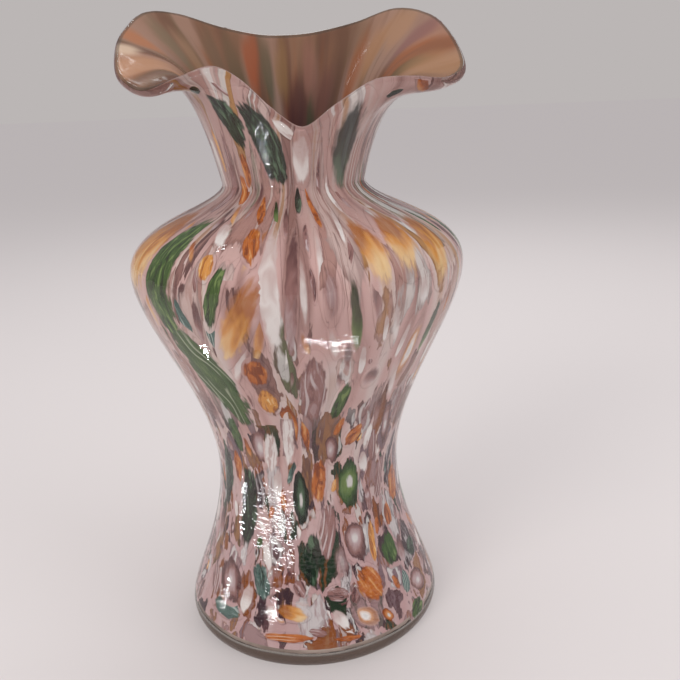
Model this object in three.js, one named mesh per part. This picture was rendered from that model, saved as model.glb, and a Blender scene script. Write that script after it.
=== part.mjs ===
// Torso vase of cased spatter glass, blown by hand: narrow waist, full shoulder, ruffled collar.
// Millimetres, +Z up. The origin is the middle of the foot, and the front of the vase faces -Y.
import * as THREE from 'three';

// Outside of the body, from the foot up to the neck
const restingRadius = 57;
const restingWidth = 7;
const underRecess = 1.2;
const recessSlope = 5;
const footRadius = 61.8;
const footEdge = 6;
const waistRadius = 43.3;
const waistHeight = 77;
const shoulderRadius = 74.2;
const shoulderHeight = 173;
const neckRadius = 31.6;
const neckHeight = 210;

// How far each curve of the body runs on in the direction it starts with
const footFlare = 1.8;
const footSweep = 12;
const waistSweepDown = 31;
const waistSweepUp = 37;
const shoulderSweepDown = 21;
const shoulderSweepUp = 21;
const neckSweep = 13;
const neckLean = THREE.MathUtils.degToRad(12);

// Thickness of the glass, from the outside in
const casingWall = 1.3;
const inlayGap = 0.55;
const chipThickness = 0.5;
const liningWall = 1.1;
const footThickness = 4.8;
const liningFloor = 2;
const cornerRound = 3.5;
const beadLength = 1.5;
const beadGap = 0.9;
const wall = casingWall + inlayGap + chipThickness + inlayGap + liningWall;
const inlayDepth = casingWall + inlayGap;
const liningDepth = inlayDepth + chipThickness + inlayGap;

// Fineness of the facets
const segments = 40;
const wallSteps = [5, 8, 10, 9];
const roundSteps = 3;
const chipStep = 3.5;
const fewestChipRows = 5;
const cornerClear = 1.5;
const broadChip = 4;
const broadestChip = 12;

// The ruffled lip, once round. at: degrees from +X towards +Y. spread and rise: out from the neck
// and above it. flare: how steep the lip ends, in degrees. climb and roll: how far the wall runs
// straight up from the neck, and how far it runs straight into the lip.
const ruffle = [
  { at: 9, spread: 43.4, rise: 54.5, flare: 22, climb: 50, roll: 22 },
  { at: 21, spread: 40.9, rise: 65, flare: 38, climb: 44, roll: 26 },
  { at: 37, spread: 35.4, rise: 70, flare: 54, climb: 36, roll: 28 },
  { at: 54, spread: 27.4, rise: 65.5, flare: 66, climb: 32, roll: 26 },
  { at: 73, spread: 16.4, rise: 61.5, flare: 76, climb: 28, roll: 24 },
  { at: 90, spread: 13.4, rise: 60.5, flare: 78, climb: 26, roll: 22 },
  { at: 106, spread: 17.9, rise: 61.5, flare: 76, climb: 28, roll: 24 },
  { at: 122, spread: 27.9, rise: 65.5, flare: 70, climb: 30, roll: 26 },
  { at: 138, spread: 38.9, rise: 71.5, flare: 60, climb: 34, roll: 28 },
  { at: 151, spread: 42.9, rise: 71, flare: 48, climb: 40, roll: 28 },
  { at: 163, spread: 43.9, rise: 62.5, flare: 32, climb: 48, roll: 24 },
  { at: 176, spread: 41.4, rise: 53, flare: 10, climb: 52, roll: 22 },
  { at: 188, spread: 38.4, rise: 43, flare: -12, climb: 52, roll: 18 },
  { at: 200, spread: 30.4, rise: 37.5, flare: -30, climb: 50, roll: 14 },
  { at: 213, spread: 19.9, rise: 41, flare: 25, climb: 42, roll: 11 },
  { at: 226, spread: 12.4, rise: 44, flare: 72, climb: 32, roll: 12 },
  { at: 240, spread: 8.4, rise: 39, flare: 76, climb: 22, roll: 12 },
  { at: 258, spread: 6.4, rise: 28, flare: 64, climb: 12, roll: 10 },
  { at: 277, spread: 7.4, rise: 20.5, flare: 55, climb: 7, roll: 8 },
  { at: 297, spread: 9.9, rise: 28.5, flare: 68, climb: 10, roll: 11 },
  { at: 316, spread: 16.9, rise: 37, flare: 74, climb: 26, roll: 12 },
  { at: 331, spread: 25.9, rise: 38, flare: 60, climb: 42, roll: 9 },
  { at: 345, spread: 36.9, rise: 37.5, flare: 35, climb: 50, roll: 10 },
  { at: 357, spread: 43.9, rise: 42.5, flare: 22, climb: 52, roll: 14 },
];

const fullTurn = 360;

// A value of the ruffle at any azimuth, on a smooth closed curve through the places in the list
function ruffleAt(azimuth, field) {
  const count = ruffle.length;
  const turned = THREE.MathUtils.euclideanModulo(azimuth, fullTurn);
  let next = ruffle.findIndex((place) => place.at > turned);
  if (next < 0) next = count;
  const place = (index) => {
    const lap = Math.floor(index / count);
    const entry = ruffle[index - lap * count];
    return { at: entry.at + lap * fullTurn, value: entry[field] };
  };
  const [before, from, to, after] = [-2, -1, 0, 1].map((step) => place(next + step));
  const share = (turned - from.at) / (to.at - from.at);
  const slopeFrom = (to.value - before.value) / (to.at - before.at) * (to.at - from.at);
  const slopeTo = (after.value - from.value) / (after.at - from.at) * (to.at - from.at);
  const share2 = share * share;
  const share3 = share2 * share;
  return (2 * share3 - 3 * share2 + 1) * from.value + (share3 - 2 * share2 + share) * slopeFrom
    + (3 * share2 - 2 * share3) * to.value + (share3 - share2) * slopeTo;
}

// The middle of the wall as a flat line of radius and height, from the foot to the neck
const halfWall = wall / 2;
const foot = new THREE.Vector2(footRadius - halfWall, footEdge);
const waist = new THREE.Vector2(waistRadius - halfWall, waistHeight);
const shoulder = new THREE.Vector2(shoulderRadius - halfWall, shoulderHeight);
const neck = new THREE.Vector2(neckRadius - halfWall, neckHeight);
const neckWay = new THREE.Vector2(Math.sin(neckLean), Math.cos(neckLean));

function upright(point, distance) {
  return new THREE.Vector2(point.x, point.y + distance);
}

const bodyCurves = [
  new THREE.CubicBezierCurve(
    foot, new THREE.Vector2(foot.x - footFlare, foot.y + footSweep),
    upright(waist, -waistSweepDown), waist),
  new THREE.CubicBezierCurve(
    waist, upright(waist, waistSweepUp), upright(shoulder, -shoulderSweepDown), shoulder),
  new THREE.CubicBezierCurve(
    shoulder, upright(shoulder, shoulderSweepUp),
    neck.clone().addScaledVector(neckWay, -neckSweep), neck),
];
const bodyLengths = bodyCurves.map((curve) => curve.getLength());

// The middle of the collar's wall at one azimuth, from the neck out to the lip
function collarCurve(azimuth) {
  const lip = new THREE.Vector2(
    neck.x + ruffleAt(azimuth, 'spread'), neck.y + ruffleAt(azimuth, 'rise'));
  const flare = THREE.MathUtils.degToRad(ruffleAt(azimuth, 'flare'));
  const lipWay = new THREE.Vector2(Math.cos(flare), Math.sin(flare));
  return new THREE.CubicBezierCurve(
    neck, neck.clone().addScaledVector(neckWay, ruffleAt(azimuth, 'climb')),
    lip.clone().addScaledVector(lipWay, -ruffleAt(azimuth, 'roll')), lip);
}

// A place on the wall's middle is a curve number plus a share of that curve: 0 to 3 is the body
// and 3 to 4 the collar.
const collarStart = bodyCurves.length;
const lipEnd = collarStart + 1;

function linePoint(azimuth, place) {
  const index = Math.min(Math.floor(place), collarStart);
  const curve = index < collarStart ? bodyCurves[index] : collarCurve(azimuth);
  return curve.getPoint(place - index);
}

function middlePoint(azimuth, place) {
  const flat = linePoint(azimuth, place);
  const turn = THREE.MathUtils.degToRad(azimuth);
  return new THREE.Vector3(flat.x * Math.cos(turn), flat.x * Math.sin(turn), flat.y);
}

// Directions at a place on the wall: up along it, and square out of it
const probe = 1e-3;

function wallFrame(azimuth, place) {
  const low = Math.min(place, lipEnd - probe);
  const along = middlePoint(azimuth, low + probe).sub(middlePoint(azimuth, low)).normalize();
  const around = middlePoint(azimuth + probe, place).sub(middlePoint(azimuth - probe, place));
  const outward = around.cross(along).normalize();
  return { along, outward };
}

// A point of the glass at a depth below the outer surface
function wallPoint(azimuth, place, depth) {
  const { outward } = wallFrame(azimuth, place);
  return middlePoint(azimuth, place).addScaledVector(outward, halfWall - depth);
}

// The place on the wall that lies a distance up it from the foot's edge
function placeAt(azimuth, up) {
  let left = up;
  for (let index = 0; index < collarStart; index += 1) {
    if (left <= bodyLengths[index]) {
      return index + bodyCurves[index].getUtoTmapping(left / bodyLengths[index]);
    }
    left -= bodyLengths[index];
  }
  const collar = collarCurve(azimuth);
  return collarStart + collar.getUtoTmapping(Math.min(left / collar.getLength(), 1));
}

// The distance up the wall of a level, which is a curve number plus a share of that curve's length
function upTo(azimuth, level) {
  const lengths = [...bodyLengths, collarCurve(azimuth).getLength()];
  const index = Math.floor(level);
  const below = lengths.slice(0, index).reduce((sum, length) => sum + length, 0);
  return below + (level - index) * lengths[index];
}

// One ring of points round the vase
const turnStep = fullTurn / segments;

function ring(pointAt) {
  return Array.from({ length: segments }, (_, index) => pointAt(index * turnStep));
}

function flatRing(radius, height) {
  return ring((azimuth) => {
    const turn = THREE.MathUtils.degToRad(azimuth);
    return new THREE.Vector3(radius * Math.cos(turn), radius * Math.sin(turn), height);
  });
}

// The steps of the rings up the wall: 0 to 3 is the body, and the collar's go on to an edge that
// follows the ruffle at a distance below the lip. A curve ends at three times the speed of its roll.
const endSpeed = 3;
const ringSteps = wallSteps.flatMap(
  (steps, index) => Array.from({ length: steps }, (_, step) => index + step / steps));
ringSteps.push(lipEnd);

function ringPlace(azimuth, step, edge) {
  if (step <= collarStart) return step;
  const edgePlace = lipEnd - edge / (endSpeed * ruffleAt(azimuth, 'roll'));
  return collarStart + (step - collarStart) * (edgePlace - collarStart);
}

function wallRings(depth, lowest, edge) {
  const steps = ringSteps.filter((step) => linePoint(0, step).y > lowest + cornerClear);
  return steps.map(
    (step) => ring((azimuth) => wallPoint(azimuth, ringPlace(azimuth, step, edge), depth)));
}

// The rounded corner between the wall and a floor below it, from the wall in to the floor
function cornerRings(depth, floor) {
  const curve = bodyCurves[0];
  let share = 0;
  while (curve.getPoint(share).y < floor + cornerRound) share += probe;
  const top = wallPoint(0, share, depth);
  return Array.from({ length: roundSteps + 1 }, (_, step) => {
    const turn = step / roundSteps * Math.PI / 2;
    const radius = top.x - cornerRound * (1 - Math.cos(turn));
    return flatRing(radius, top.z - (top.z - floor) * Math.sin(turn));
  });
}

function solid(name, points, faces, material) {
  const geometry = new THREE.BufferGeometry().setFromPoints(points);
  geometry.setIndex(faces);
  geometry.computeVertexNormals();
  const mesh = new THREE.Mesh(geometry, material);
  mesh.name = name;
  return mesh;
}

// A closed shell from rings that run out along the underside, up the outside and down the inside
function shell(name, underHeight, rings, floorHeight, material) {
  const points = [
    new THREE.Vector3(0, 0, underHeight), ...rings.flat(), new THREE.Vector3(0, 0, floorHeight),
  ];
  const at = (row, index) => 1 + row * segments + index % segments;
  const lastRow = rings.length - 1;
  const faces = [];
  for (let index = 0; index < segments; index += 1) {
    faces.push(0, at(0, index + 1), at(0, index));
    for (let row = 0; row < lastRow; row += 1) {
      faces.push(at(row, index), at(row, index + 1), at(row + 1, index + 1));
      faces.push(at(row, index), at(row + 1, index + 1), at(row + 1, index));
    }
    faces.push(at(lastRow, index), at(lastRow, index + 1), points.length - 1);
  }
  return solid(name, points, faces, material);
}

function glass(colour, roughness, opacity = 1) {
  return new THREE.MeshStandardMaterial({
    color: colour, roughness, metalness: 0, opacity, transparent: opacity < 1,
  });
}

// The clear casing: a thick foot, the outer skin, and the rounded lip that closes over the lining
function clearCasing() {
  const recessRadius = restingRadius - restingWidth;
  const edge = footRadius - restingRadius;
  const under = [
    flatRing(recessRadius - recessSlope, underRecess),
    flatRing(recessRadius, 0),
    flatRing(restingRadius, 0),
  ];
  for (let step = 1; step <= roundSteps; step += 1) {
    const turn = step / roundSteps * Math.PI / 2;
    under.push(flatRing(restingRadius + edge * Math.sin(turn), footEdge * (1 - Math.cos(turn))));
  }
  const lip = Array.from({ length: 2 * roundSteps + 1 }, (_, step) => {
    const turn = step / (2 * roundSteps) * Math.PI;
    return ring((azimuth) => {
      const { along, outward } = wallFrame(azimuth, lipEnd);
      return middlePoint(azimuth, lipEnd)
        .addScaledVector(outward, halfWall * Math.cos(turn))
        .addScaledVector(along, halfWall * Math.sin(turn));
    });
  });
  const rings = [
    ...under, ...wallRings(0, footEdge, beadLength), ...lip,
    ring((azimuth) => wallPoint(azimuth, ringPlace(azimuth, lipEnd, beadLength), wall)),
    ...wallRings(casingWall, footThickness + cornerRound, beadLength).reverse(),
    ...cornerRings(casingWall, footThickness),
  ];
  return shell('clear_casing', underRecess, rings, footThickness, glass(0xdfe6dc, 0.04, 0.35));
}

// The inner gather: the opaque cup that holds the water, closed in by the casing
function innerGather() {
  const underside = footThickness + inlayGap;
  const floor = underside + liningFloor;
  const edge = beadLength + beadGap;
  const rings = [
    ...cornerRings(liningDepth, underside).reverse(),
    ...wallRings(liningDepth, underside + cornerRound, edge),
    ...wallRings(wall, floor + cornerRound, edge).reverse(),
    ...cornerRings(wall, floor),
  ];
  return shell('inner_gather', underside, rings, floor, glass(0xb08a76, 0.12));
}

// A point on the casing's facets, sunk to a depth
function facetPoint(azimuth, place, depth) {
  const edgePlace = ringPlace(azimuth, lipEnd, beadLength);
  const step = place < collarStart
    ? place : collarStart + (place - collarStart) / (edgePlace - collarStart);
  const row = ringSteps.findLastIndex((start) => start <= step && start < lipEnd);
  const low = ringSteps[row];
  const high = ringSteps[row + 1];
  const left = Math.floor(azimuth / turnStep) * turnStep;
  const upShare = (step - low) / (high - low);
  const acrossShare = (azimuth - left) / turnStep;
  const knot = (turned, ringStep) => wallPoint(
    turned, ringPlace(turned, ringStep, beadLength), depth);
  const start = knot(left, low);
  const end = knot(left + turnStep, high);
  const corner = upShare < acrossShare ? knot(left + turnStep, low) : knot(left, high);
  return start.clone()
    .addScaledVector(corner.sub(start), Math.abs(acrossShare - upShare))
    .addScaledVector(end.sub(start), Math.min(acrossShare, upShare));
}

// A chip of coloured glass rolled into the wall: a thin pad with rounded ends that follows it.
// at and level: its middle, in degrees round the vase and as a level up the wall. lean: degrees
// that its top leans to the right. bow: how far its middle bends to the right.
function chip({ name, at, level, length, width, lean, bow = 0, kind }) {
  const up = upTo(at, level);
  const turn = THREE.MathUtils.degToRad(lean);
  const radius = linePoint(at, placeAt(at, up)).x + halfWall;
  const rows = Math.max(fewestChipRows, Math.round(length / chipStep));
  const columns = 2 + Number(width > broadChip) + 2 * Number(width > broadestChip);
  const sides = Array.from({ length: columns }, (_, column) => 2 * column / (columns - 1) - 1);
  const pad = (depth, along, side) => {
    const across = bow * (1 - along * along) + side * width / 2 * Math.sqrt(1 - along * along);
    const reach = along * length / 2;
    const aside = across * Math.cos(turn) + reach * Math.sin(turn);
    const azimuth = at + THREE.MathUtils.radToDeg(aside / radius);
    const rise = up + reach * Math.cos(turn) - across * Math.sin(turn);
    return facetPoint(azimuth, placeAt(azimuth, rise), depth);
  };
  const depths = [inlayDepth, inlayDepth + chipThickness];
  const points = [];
  for (const depth of depths) {
    points.push(pad(depth, -1, 0));
    for (let row = 1; row <= rows; row += 1) {
      const along = -Math.cos(row / (rows + 1) * Math.PI);
      for (const side of sides) points.push(pad(depth, along, side));
    }
    points.push(pad(depth, 1, 0));
  }
  const layer = points.length / 2;
  const wide = sides.length;
  const grid = (row, column) => 1 + row * wide + column;
  const faces = [];
  const face = (a, b, c) => {
    faces.push(a, b, c);
    faces.push(layer + a, layer + c, layer + b);
  };
  for (let column = 0; column + 1 < wide; column += 1) {
    face(0, grid(0, column + 1), grid(0, column));
    for (let row = 0; row + 1 < rows; row += 1) {
      face(grid(row, column), grid(row, column + 1), grid(row + 1, column + 1));
      face(grid(row, column), grid(row + 1, column + 1), grid(row + 1, column));
    }
    face(grid(rows - 1, column), grid(rows - 1, column + 1), layer - 1);
  }
  const rightSide = Array.from({ length: rows }, (_, row) => grid(row, wide - 1));
  const leftSide = Array.from({ length: rows }, (_, row) => grid(rows - 1 - row, 0));
  const rim = [0, ...rightSide, layer - 1, ...leftSide];
  rim.forEach((start, index) => {
    const end = rim[(index + 1) % rim.length];
    faces.push(start, layer + start, end);
    faces.push(end, layer + start, layer + end);
  });
  return solid(name, points, faces, chipGlass[kind]);
}

const chipGlass = {
  amber: glass(0xcf9040, 0.1),
  orange: glass(0xb9622c, 0.1),
  green: glass(0x3f6b3a, 0.1),
  darkGreen: glass(0x24402f, 0.1),
  white: glass(0xe4dcd6, 0.1),
  mauve: glass(0x8d625f, 0.1),
  teal: glass(0x4f7a70, 0.1),
};

// The chips, from the neck down: first those of the front, then those of the sides and the back
const chips = [
  { name: 'green_neck_edge', at: 226, level: 3.562, length: 26, width: 8, lean: -28, bow: 2, kind: 'darkGreen' },
  { name: 'green_neck_left', at: 248, level: 3.451, length: 40, width: 10, lean: -19, bow: 3, kind: 'darkGreen' },
  { name: 'orange_neck_left', at: 231, level: 3.130, length: 15, width: 3.5, lean: -3, bow: 1, kind: 'orange' },
  { name: 'white_neck', at: 275, level: 3.442, length: 18, width: 7, lean: -2, kind: 'white' },
  { name: 'green_neck_right', at: 312, level: 3.379, length: 40, width: 11, lean: 3, bow: -3, kind: 'darkGreen' },
  { name: 'green_crescent', at: 225, level: 2.177, length: 54, width: 15, lean: -1, bow: -7, kind: 'green' },
  { name: 'green_tail', at: 232, level: 1.553, length: 42, width: 17, lean: -20, kind: 'green' },
  { name: 'amber_shoulder', at: 203, level: 2.310, length: 48, width: 22, lean: -3, bow: -3, kind: 'amber' },
  { name: 'white_left_shoulder', at: 238, level: 2.478, length: 16, width: 5, lean: -21, kind: 'white' },
  { name: 'amber_oval_left', at: 239.5, level: 2.193, length: 11, width: 6, lean: -6, kind: 'amber' },
  { name: 'green_feather_left', at: 243, level: 1.996, length: 26, width: 6, lean: 18, kind: 'green' },
  { name: 'orange_chest', at: 253, level: 2.394, length: 20, width: 6, lean: -10, kind: 'orange' },
  { name: 'amber_chest', at: 250, level: 1.897, length: 38, width: 10, lean: 24, kind: 'amber' },
  { name: 'orange_waist_left', at: 252, level: 1.661, length: 14, width: 8, lean: 5, kind: 'orange' },
  { name: 'amber_waist_left', at: 254, level: 1.504, length: 12, width: 6.5, lean: -5, kind: 'amber' },
  { name: 'white_chest', at: 261, level: 2.043, length: 58, width: 7, lean: -2, kind: 'white' },
  { name: 'mauve_chest', at: 267.5, level: 2.043, length: 60, width: 4.5, lean: 4, kind: 'mauve' },
  { name: 'mauve_teardrop', at: 279, level: 2.009, length: 22, width: 6.5, lean: 0, kind: 'mauve' },
  { name: 'green_sliver_right', at: 287, level: 1.897, length: 35, width: 5.5, lean: -8, kind: 'green' },
  { name: 'amber_shoulder_right_front', at: 296, level: 2.310, length: 36, width: 10, lean: -3, kind: 'amber' },
  { name: 'amber_shoulder_right', at: 310, level: 2.361, length: 35, width: 12, lean: 13, kind: 'amber' },
  { name: 'amber_shoulder_far_right', at: 325, level: 2.260, length: 36, width: 12, lean: 16, kind: 'amber' },
  { name: 'white_shoulder_right', at: 312, level: 1.966, length: 14, width: 5, lean: 0, kind: 'white' },
  { name: 'mauve_fan', at: 273, level: 1.553, length: 36, width: 10, lean: 2, kind: 'mauve' },
  { name: 'green_leaf_right', at: 285, level: 1.474, length: 21, width: 5.5, lean: 13, kind: 'green' },
  { name: 'white_oval_front', at: 260, level: 1.287, length: 27, width: 4.5, lean: 5, kind: 'white' },
  { name: 'white_oval_left', at: 249, level: 1.209, length: 22, width: 5.5, lean: 8, kind: 'white' },
  { name: 'orange_yellow_right', at: 295, level: 1.278, length: 12, width: 6, lean: 31, kind: 'orange' },
  { name: 'orange_oval', at: 275, level: 1.061, length: 24, width: 6, lean: 3, kind: 'orange' },
  { name: 'green_ringed_oval', at: 294, level: 1.022, length: 25, width: 9, lean: -2, kind: 'green' },
  { name: 'green_oval_front', at: 264, level: 0.976, length: 26, width: 6, lean: 0, kind: 'darkGreen' },
  { name: 'green_oval_hip', at: 269, level: 0.583, length: 25, width: 7.5, lean: 3, kind: 'darkGreen' },
  { name: 'green_oval_left', at: 229, level: 0.867, length: 40, width: 9, lean: 3, kind: 'darkGreen' },
  { name: 'green_waist_left', at: 229, level: 1.278, length: 20, width: 5.5, lean: 4, kind: 'green' },
  { name: 'orange_side_right', at: 335, level: 0.881, length: 19, width: 9, lean: 5, kind: 'orange' },
  { name: 'green_oval_right', at: 317, level: 0.501, length: 16, width: 9, lean: 3, kind: 'green' },
  { name: 'mauve_oval_right', at: 295, level: 0.650, length: 18, width: 9.5, lean: -4, kind: 'mauve' },
  { name: 'orange_hip', at: 299, level: 0.366, length: 17, width: 11, lean: -27, kind: 'orange' },
  { name: 'white_hip_right', at: 294, level: 0.176, length: 12, width: 7, lean: -55, kind: 'white' },
  { name: 'white_hip', at: 281, level: 0.203, length: 11, width: 5, lean: -37, kind: 'white' },
  { name: 'mauve_hip', at: 281, level: 0.352, length: 10, width: 6, lean: -79, kind: 'mauve' },
  { name: 'amber_hip', at: 258, level: 0.257, length: 15, width: 6.5, lean: -83, kind: 'amber' },
  { name: 'teal_hip', at: 241, level: 0.420, length: 17, width: 7.5, lean: -19, kind: 'teal' },
  { name: 'mauve_hip_left', at: 221, level: 0.352, length: 20, width: 13, lean: -18, kind: 'mauve' },
  { name: 'green_neck_back', at: 75, level: 3.265, length: 38, width: 7, lean: 8, kind: 'darkGreen' },
  { name: 'orange_neck_back', at: 128, level: 3.275, length: 34, width: 5, lean: -6, kind: 'orange' },
  { name: 'green_side_right', at: 350, level: 2.076, length: 44, width: 8, lean: 4, kind: 'green' },
  { name: 'orange_shoulder_right_back', at: 13, level: 2.244, length: 36, width: 10, lean: -6, kind: 'orange' },
  { name: 'mauve_fan_right_back', at: 28, level: 1.533, length: 30, width: 9, lean: 4, kind: 'mauve' },
  { name: 'amber_shoulder_back', at: 58, level: 2.344, length: 36, width: 12, lean: 5, kind: 'amber' },
  { name: 'green_crescent_back', at: 81, level: 2.076, length: 48, width: 9, lean: -3, bow: 6, kind: 'green' },
  { name: 'white_streak_back', at: 108, level: 2.244, length: 34, width: 6, lean: 4, kind: 'white' },
  { name: 'amber_shoulder_left_back', at: 143, level: 2.277, length: 34, width: 12, lean: 6, kind: 'amber' },
  { name: 'green_side_left', at: 178, level: 2.110, length: 40, width: 8, lean: -3, kind: 'green' },
  { name: 'orange_oval_back', at: 66, level: 1.100, length: 22, width: 7, lean: 4, kind: 'orange' },
  { name: 'green_oval_back', at: 104, level: 0.949, length: 32, width: 8, lean: -4, kind: 'darkGreen' },
  { name: 'mauve_hip_right_back', at: 42, level: 0.434, length: 20, width: 12, lean: -15, kind: 'mauve' },
  { name: 'teal_hip_left_back', at: 152, level: 0.488, length: 20, width: 10, lean: 20, kind: 'teal' },
];

const vase = new THREE.Group();
vase.add(clearCasing(), innerGather(), ...chips.map(chip));
export default vase;
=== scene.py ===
"""Torso vase of blown spatter glass: its clear casing, lining and coloured chips, with a plain stage."""
import math

import bpy
import numpy as np
from mathutils import Matrix, Vector


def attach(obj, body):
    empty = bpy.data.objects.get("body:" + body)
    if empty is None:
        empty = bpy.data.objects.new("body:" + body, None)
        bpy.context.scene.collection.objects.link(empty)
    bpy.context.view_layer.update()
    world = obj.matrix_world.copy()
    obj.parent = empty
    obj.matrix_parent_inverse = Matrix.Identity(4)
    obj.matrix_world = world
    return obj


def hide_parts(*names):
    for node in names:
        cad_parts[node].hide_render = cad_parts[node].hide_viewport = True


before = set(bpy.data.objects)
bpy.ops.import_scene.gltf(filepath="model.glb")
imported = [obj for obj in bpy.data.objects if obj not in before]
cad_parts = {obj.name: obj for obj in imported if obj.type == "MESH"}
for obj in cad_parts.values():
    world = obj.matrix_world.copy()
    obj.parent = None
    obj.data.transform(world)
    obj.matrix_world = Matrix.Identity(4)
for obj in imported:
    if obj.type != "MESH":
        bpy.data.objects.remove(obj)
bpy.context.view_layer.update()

bl_info = {
    "name": "Torso Vase",
    "version": (1, 0, 0),
    "blender": (4, 5, 0),
    "location": "View3D > Sidebar > Vase",
    "description": "Builds a blown glass vase with a ruffled collar and coloured chips in its wall",
    "category": "Add Mesh",
}

# A millimetre in metres, and a full turn in degrees
MM = 0.001
FULL_TURN = 360.0

# The ruffled lip, once round: its azimuth in degrees from +X towards +Y; how far it is out from the neck and
# above it, in mm; the slope that it ends with, in degrees; how far the wall runs straight up from the neck,
# and straight into the lip, in mm
RUFFLE = {
    "azimuth": (9, 21, 37, 54, 73, 90, 106, 122, 138, 151, 163, 176,
                188, 200, 213, 226, 240, 258, 277, 297, 316, 331, 345, 357),
    "spread": (43.4, 40.9, 35.4, 27.4, 16.4, 13.4, 17.9, 27.9, 38.9, 42.9, 43.9, 41.4,
               38.4, 30.4, 19.9, 12.4, 8.4, 6.4, 7.4, 9.9, 16.9, 25.9, 36.9, 43.9),
    "rise": (54.5, 65, 70, 65.5, 61.5, 60.5, 61.5, 65.5, 71.5, 71, 62.5, 53,
             43, 37.5, 41, 44, 39, 28, 20.5, 28.5, 37, 38, 37.5, 42.5),
    "flare": (22, 38, 54, 66, 76, 78, 76, 70, 60, 48, 32, 10,
              -12, -30, 25, 72, 76, 64, 55, 68, 74, 60, 35, 22),
    "climb": (50, 44, 36, 32, 28, 26, 28, 30, 34, 40, 48, 52,
              52, 50, 42, 32, 22, 12, 7, 10, 26, 42, 50, 52),
    "roll": (22, 26, 28, 26, 24, 22, 24, 26, 28, 28, 24, 22,
             18, 14, 11, 12, 12, 10, 8, 11, 12, 9, 10, 14),
}

# How far the body's curves run straight on at their ends, in mm, and how the wall leans out at the neck, in
# degrees
FOOT_PULL = (-1.8, 12)
WAIST_PULL_DOWN = 31
WAIST_PULL_UP = 37
SHOULDER_PULL = 21
NECK_PULL = 13
NECK_LEAN = 12

# Places on the wall count its curves: 0 to 3 is the body, from the foot's edge to the neck, and 3 to 4 the
# collar. A probe is a short step that gives a direction there.
NECK_PLACE = 3.0
LIP_PLACE = 4.0
PROBE = 1e-3

# How finely curves are measured
BODY_STEPS = 401
COLLAR_STEPS = 61
COLLAR_RUN_STEPS = 25
CORNER_SEARCH_STEPS = 1001
DRAWN_STEPS = 400

# How much longer than wide the glass is drawn, at heights up the wall in mm, and the radius of the plain
# cylinder on which its pattern is laid out
DRAWN_AT = (-70, 0, 45, 90, 130, 170, 215, 235, 262, 320)
DRAWN = (1.0, 1.5, 2.1, 2.8, 3.6, 5.0, 8.5, 10.0, 8.0, 5.0)
PATTERN_RADIUS = 52.0


def tone(red, green, blue):
    """A colour from its screen values of 0 to 255."""
    return tuple(((value / 255 + 0.055) / 1.055) ** 2.4 for value in (red, green, blue)) + (1.0,)


def between(first, second, share=0.5):
    """A colour at a share of the way from the first to the second."""
    return tuple(one + (other - one) * share for one, other in zip(first, second))


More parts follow.
